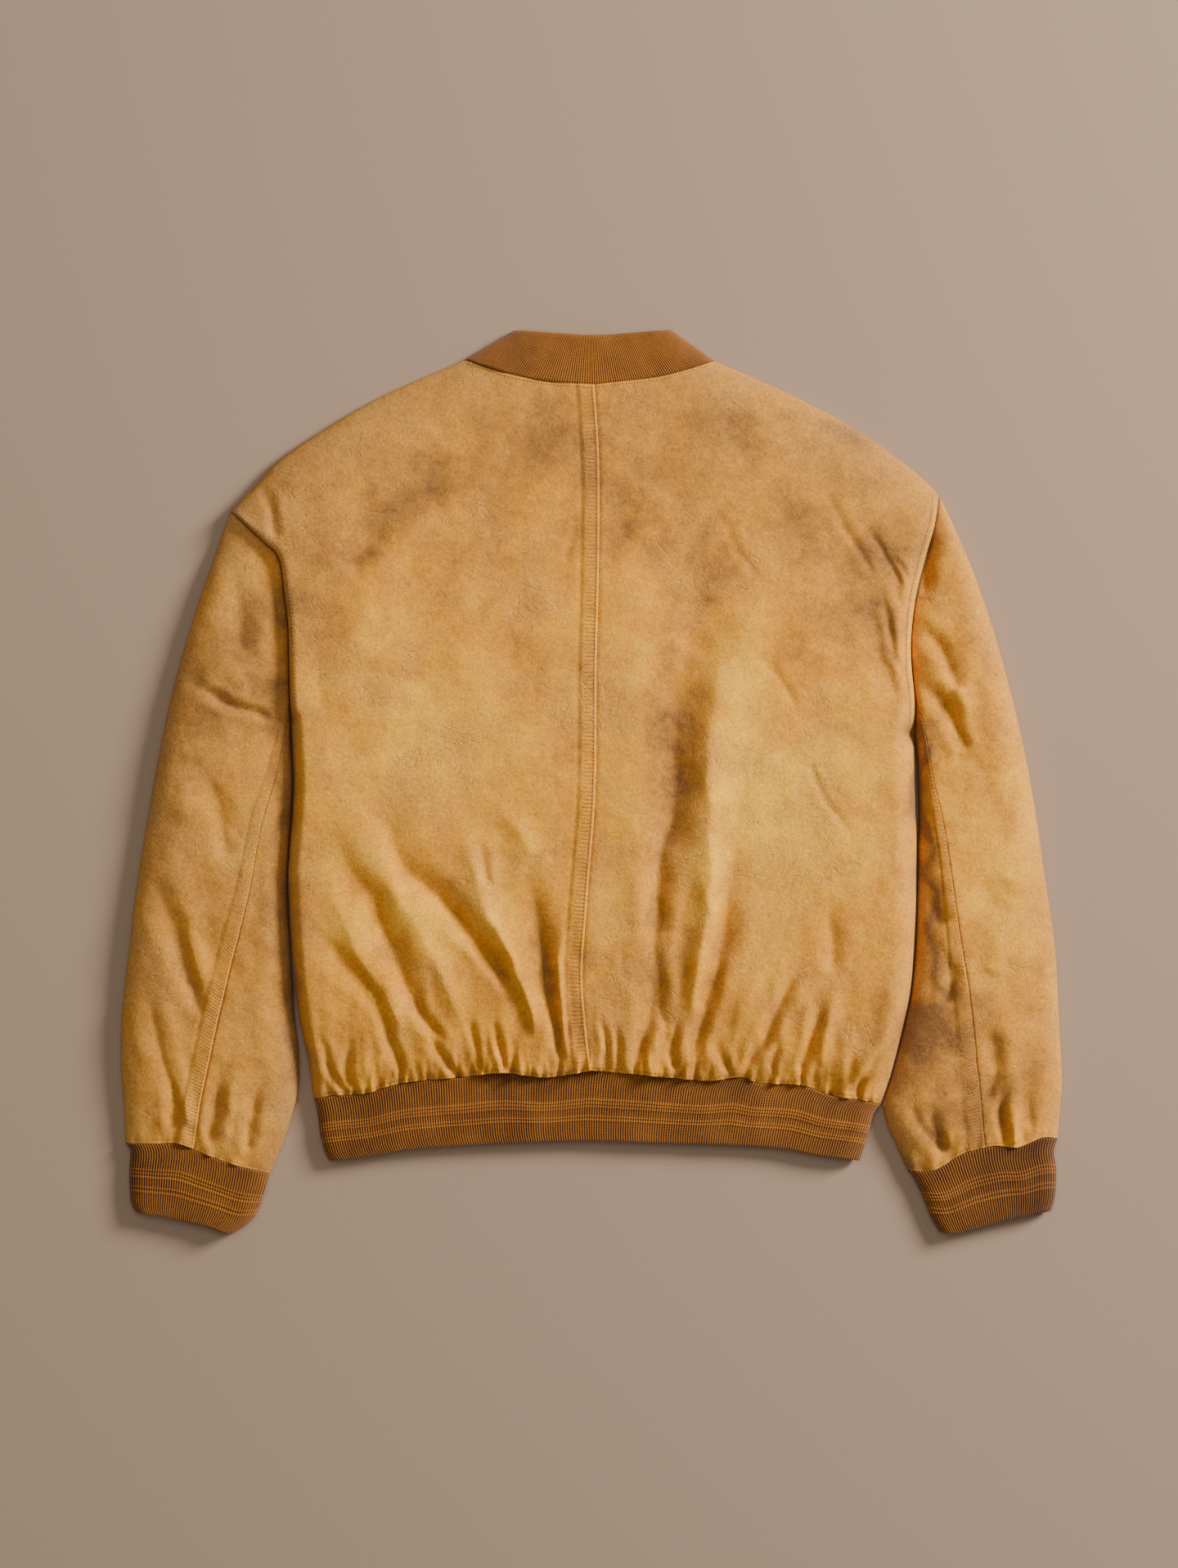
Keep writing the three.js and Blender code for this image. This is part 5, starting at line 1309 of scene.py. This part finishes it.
def collar_place(column, v):
    points = np.zeros((len(column), 3))
    lining = np.zeros((len(column), 3))
    wales = np.zeros(len(column))
    run = 0.0
    for part, (seam, top, side) in enumerate(collar_parts):
        here = (column >= part) & (column <= part + 1)
        share = clamp01(column - part)
        plan = seam.at(share) * (1 - v)[:, None] + top.at(share) * v[:, None]
        plan[:, 1] += SEAM_GAP / 2 * (1 - v)
        count = round(seam.length / WALE_PITCH)
        ridge, tilt = 0.0, np.zeros(len(column))
        if side == 0:
            rise = round_rise(np.minimum(share, 1 - share) / COLLAR_ROLL)
            height = COLLAR_FOLD_HEIGHT + (COLLAR_HEIGHT - COLLAR_FOLD_HEIGHT - COLLAR_FALL * v) * rise
            height += uneven(plan, COLLAR_WAVES) * rise
            height -= COLLAR_DROP * (1 - round_rise((1 - v) * COLLAR_DEPTH / COLLAR_DROP_WIDTH))
            ridge = COLLAR_WALE * WALE_HEIGHT * np.cos(2 * math.pi * count * share)
            tilt = np.sqrt(1 - rise**2) * np.sign(0.5 - share)
        else:
            from_fold = 1 - share if side < 0 else share
            height = COLLAR_FOLD_HEIGHT * (1 - round_rise(from_fold / COLLAR_ROLL)) / 2
            plan[:, 0] += side * COLLAR_SPREAD * from_fold
        inward = RIB_WALL * (-1 if side == 0 else 1) * np.sqrt(1 - tilt**2)
        inner = np.column_stack([plan[:, 0] + RIB_WALL * tilt, plan[:, 1], height + inward])
        points[here] = np.column_stack([plan, height + ridge])[here]
        lining[here] = inner[here]
        wales[here] = (run + share * count * WALE_PITCH)[here]
        run += count * WALE_PITCH
    uv = np.column_stack([wales, v * COLLAR_DEPTH])
    return points, {"uv": uv, "row": v, "shade": np.full(len(v), COLLAR_SHADE), "lining": lining}


side_lines = even_lines(0, 1, 1 / COLLAR_SIDE_LINES)
back_lines = even_lines(0, 1, 1 / (WALE_LINES * round(back_neck.length / WALE_PITCH)))
collar_columns = np.unique(np.concatenate([side_lines, 1 + back_lines, 2 + side_lines]))
collar_rows = even_lines(0, 1, 1 / COLLAR_ROWS)
collar = cloth_object("collar_knit", collar_columns, collar_rows, collar_place, COLLAR_INSIDE)
line_piece(collar)
print("collar:", len(collar.data.polygons), "faces")

# %% [markdown]
# The photograph hides the front, so its closure is plain: five four-hole buttons of dark horn under the
# lap. Each is a profile spun into a disc, with its four holes cut by a boolean.

# %% Buttons
BUTTON_THICK, BUTTON_COUNT, BUTTON_TOP_Y, BUTTON_PITCH, BUTTON_STEPS = 2.2, 5, 252, 118, 40
BUTTON_BASE = LAP_LIFT - SEAM_GAP - BUTTON_THICK
HOLE_RADIUS, HOLE_SPREAD, HOLE_DEPTH, HOLE_SIDES = 1.1, 1.9, 8, 10
# Half the section of a button, each row [radius, height]; it is spun round the button's middle
BUTTON_SECTION = [[0, 0.75], [6.2, 0.75], [7.2, 0.1], [8.8, 0], [9.7, 0.35], [10, 1.1], [9.7, 1.85],
                  [8.8, 2.2], [0, 2.2]]


def spun_button(name, y):
    bm = bmesh.new()
    ring = [bm.verts.new((radius, 0, height)) for radius, height in BUTTON_SECTION]
    edges = [bm.edges.new(pair) for pair in zip(ring, ring[1:])]
    bmesh.ops.spin(bm, geom=ring + edges, cent=(0, 0, 0), axis=(0, 0, 1), angle=2 * math.pi,
                   steps=BUTTON_STEPS, use_merge=True)
    bmesh.ops.remove_doubles(bm, verts=bm.verts, dist=1e-4)
    bmesh.ops.recalc_face_normals(bm, faces=bm.faces)
    bmesh.ops.scale(bm, vec=(MM, MM, MM), verts=bm.verts)
    bmesh.ops.translate(bm, vec=(0, y * MM, BUTTON_BASE * MM), verts=bm.verts)
    return object_from(bm, name)


def drill(obj, y):
    bm = bmesh.new()
    for dx in (-HOLE_SPREAD, HOLE_SPREAD):
        for dy in (-HOLE_SPREAD, HOLE_SPREAD):
            place = Matrix.Translation((dx * MM, (y + dy) * MM, (BUTTON_BASE + 1) * MM))
            bmesh.ops.create_cone(bm, cap_ends=True, segments=HOLE_SIDES, radius1=HOLE_RADIUS * MM,
                                  radius2=HOLE_RADIUS * MM, depth=HOLE_DEPTH * MM, matrix=place)
    cutter = object_from(bm, "drill")
    cut = obj.modifiers.new("holes", "BOOLEAN")
    cut.operation, cut.solver, cut.object = "DIFFERENCE", "EXACT", cutter
    evaluated = obj.evaluated_get(bpy.context.evaluated_depsgraph_get())
    drilled = bpy.data.meshes.new_from_object(evaluated)
    obj.modifiers.clear()
    obj.data = drilled
    bpy.data.objects.remove(cutter)


buttons = []
for i in range(BUTTON_COUNT):
    y = BUTTON_TOP_Y - i * BUTTON_PITCH
    button = spun_button(f"button_{i + 1}_horn", y)
    drill(button, y)
    buttons.append(button)
print("buttons:", [(piece.name, len(piece.data.polygons)) for piece in buttons])

# %% [markdown]
# The seams are topstitched in a thread of the suede's own colour. Each stitch is a small rounded shape that
# sits half sunk in the cloth. A loop walks along every stitch line, and all the stitches of a line are one
# mesh.

# %% Stitch lines
STITCH_LENGTH, STITCH_PITCH, STITCH_RADIUS, STITCH_LIFT = 2.7, 3.3, 0.34, 0.1
# Distance of each stitch line from its seam
CENTRE_STITCH, HEM_STITCH, NECK_STITCH, ARMHOLE_STITCH, SLEEVE_STITCH = 2.2, 3.2, 2.2, 5.3, 1.6
RAY_START = 0.2


def stitch_object(name, points):
    """points is a line in space in mm; stitches of one pitch are set along it."""
    run = run_along(points)
    bm = bmesh.new()
    for k in range(int(run[-1] / STITCH_PITCH)):
        ends = []
        for reach in (k * STITCH_PITCH, k * STITCH_PITCH + STITCH_LENGTH):
            ends.append(Vector([float(np.interp(reach, run, points[:, axis])) for axis in range(3)]) * MM)
        along = ends[1] - ends[0]
        turn = along.to_track_quat("X", "Z").to_matrix().to_4x4()
        size = Matrix.Diagonal((along.length / 2, STITCH_RADIUS * MM, STITCH_RADIUS * MM, 1))
        place = Matrix.Translation((ends[0] + ends[1]) / 2) @ turn @ size
        bmesh.ops.create_uvsphere(bm, u_segments=6, v_segments=4, radius=1, matrix=place)
    for face in bm.faces:
        face.smooth = True
    return object_from(bm, name)


def dropped(piece, plan):
    """Points just above a finished piece, over a line of the plan: rays find them on its own mesh."""
    points = []
    for x, y in plan:
        hit, where, _, _ = piece.ray_cast(Vector((x * MM, y * MM, RAY_START)), Vector((0, 0, -1)))
        if hit:
            points.append([x, y, where.z / MM + STITCH_LIFT])
    return np.array(points)


stitching = []
bpy.context.view_layer.update()
shares = np.linspace(0.004, 0.996, 260)
sleeve_shares = np.linspace(0.02, 0.995, 220)
for half in halves:
    lines = {
        "hem": half.hem.shifted(0, HEM_STITCH),
        "neck": half.neck.shifted(0, -NECK_STITCH),
        "armhole": half.armhole.moved(lambda share: -half.turn * ARMHOLE_STITCH),
    }
    if half.turn < 0:
        lines["centre"] = half.centre.shifted(-CENTRE_STITCH, 0)
    for line_name, line in lines.items():
        points = dropped(back_pieces[half.name], line.at(shares))
        stitching.append(stitch_object(f"stitching_{line_name}_{half.name}", points))
    sleeve = sleeves[half.name]
    beside = sleeve.seam_at(sleeve_shares) + half.turn * SLEEVE_STITCH / sleeve.width(sleeve_shares)
    part = "top" if half.turn < 0 else "under"
    host = sleeve_pieces[f"sleeve_{half.name}_{part}_suede"]
    points = dropped(host, sleeve.plan_at(beside, sleeve_shares))
    stitching.append(stitch_object(f"stitching_sleeve_{half.name}", points))
print("stitch lines:", len(stitching), "faces:", sum(len(piece.data.polygons) for piece in stitching))

# %% [markdown]
# Last, the imported parts that each new piece stands for are hidden, and every piece gets its finish and is
# attached to the root body.


def declare(piece, cut, rests_on, *nodes):
    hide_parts(*nodes)


for half in halves:
    name = half.name
    declare(back_pieces[name], "back", [front_pieces[name]], f"back_{name}")
    declare(front_pieces[name], "front", ["floor"], f"front_{name}")
    for part in ("top", "under"):
        sleeve_piece = sleeve_pieces[f"sleeve_{name}_{part}_suede"]
        declare(sleeve_piece, f"sleeve_{part}", ["floor"], f"sleeve_{name}_{part}")
    declare(bands[name], "cuff", ["floor"], f"cuff_{name}")
declare(bands["hem"], "hem", ["floor"], "hem_band")
declare(collar, "collar", [back_pieces["left"]], "collar")
for i, button in enumerate(buttons):
    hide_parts(f"button_{i + 1}")

finishes = [
    (suede, "suede", [*back_pieces.values(), *front_pieces.values(), *sleeve_pieces.values()]),
    (knit, "rib_knit", [*bands.values(), collar]),
    (thread, "suede", stitching),
    (horn, "button_horn", buttons),
]
for material, slot, pieces in finishes:
    for piece in pieces:
        piece.data.materials.clear()
        piece.data.materials.append(material)
        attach(piece, "root")
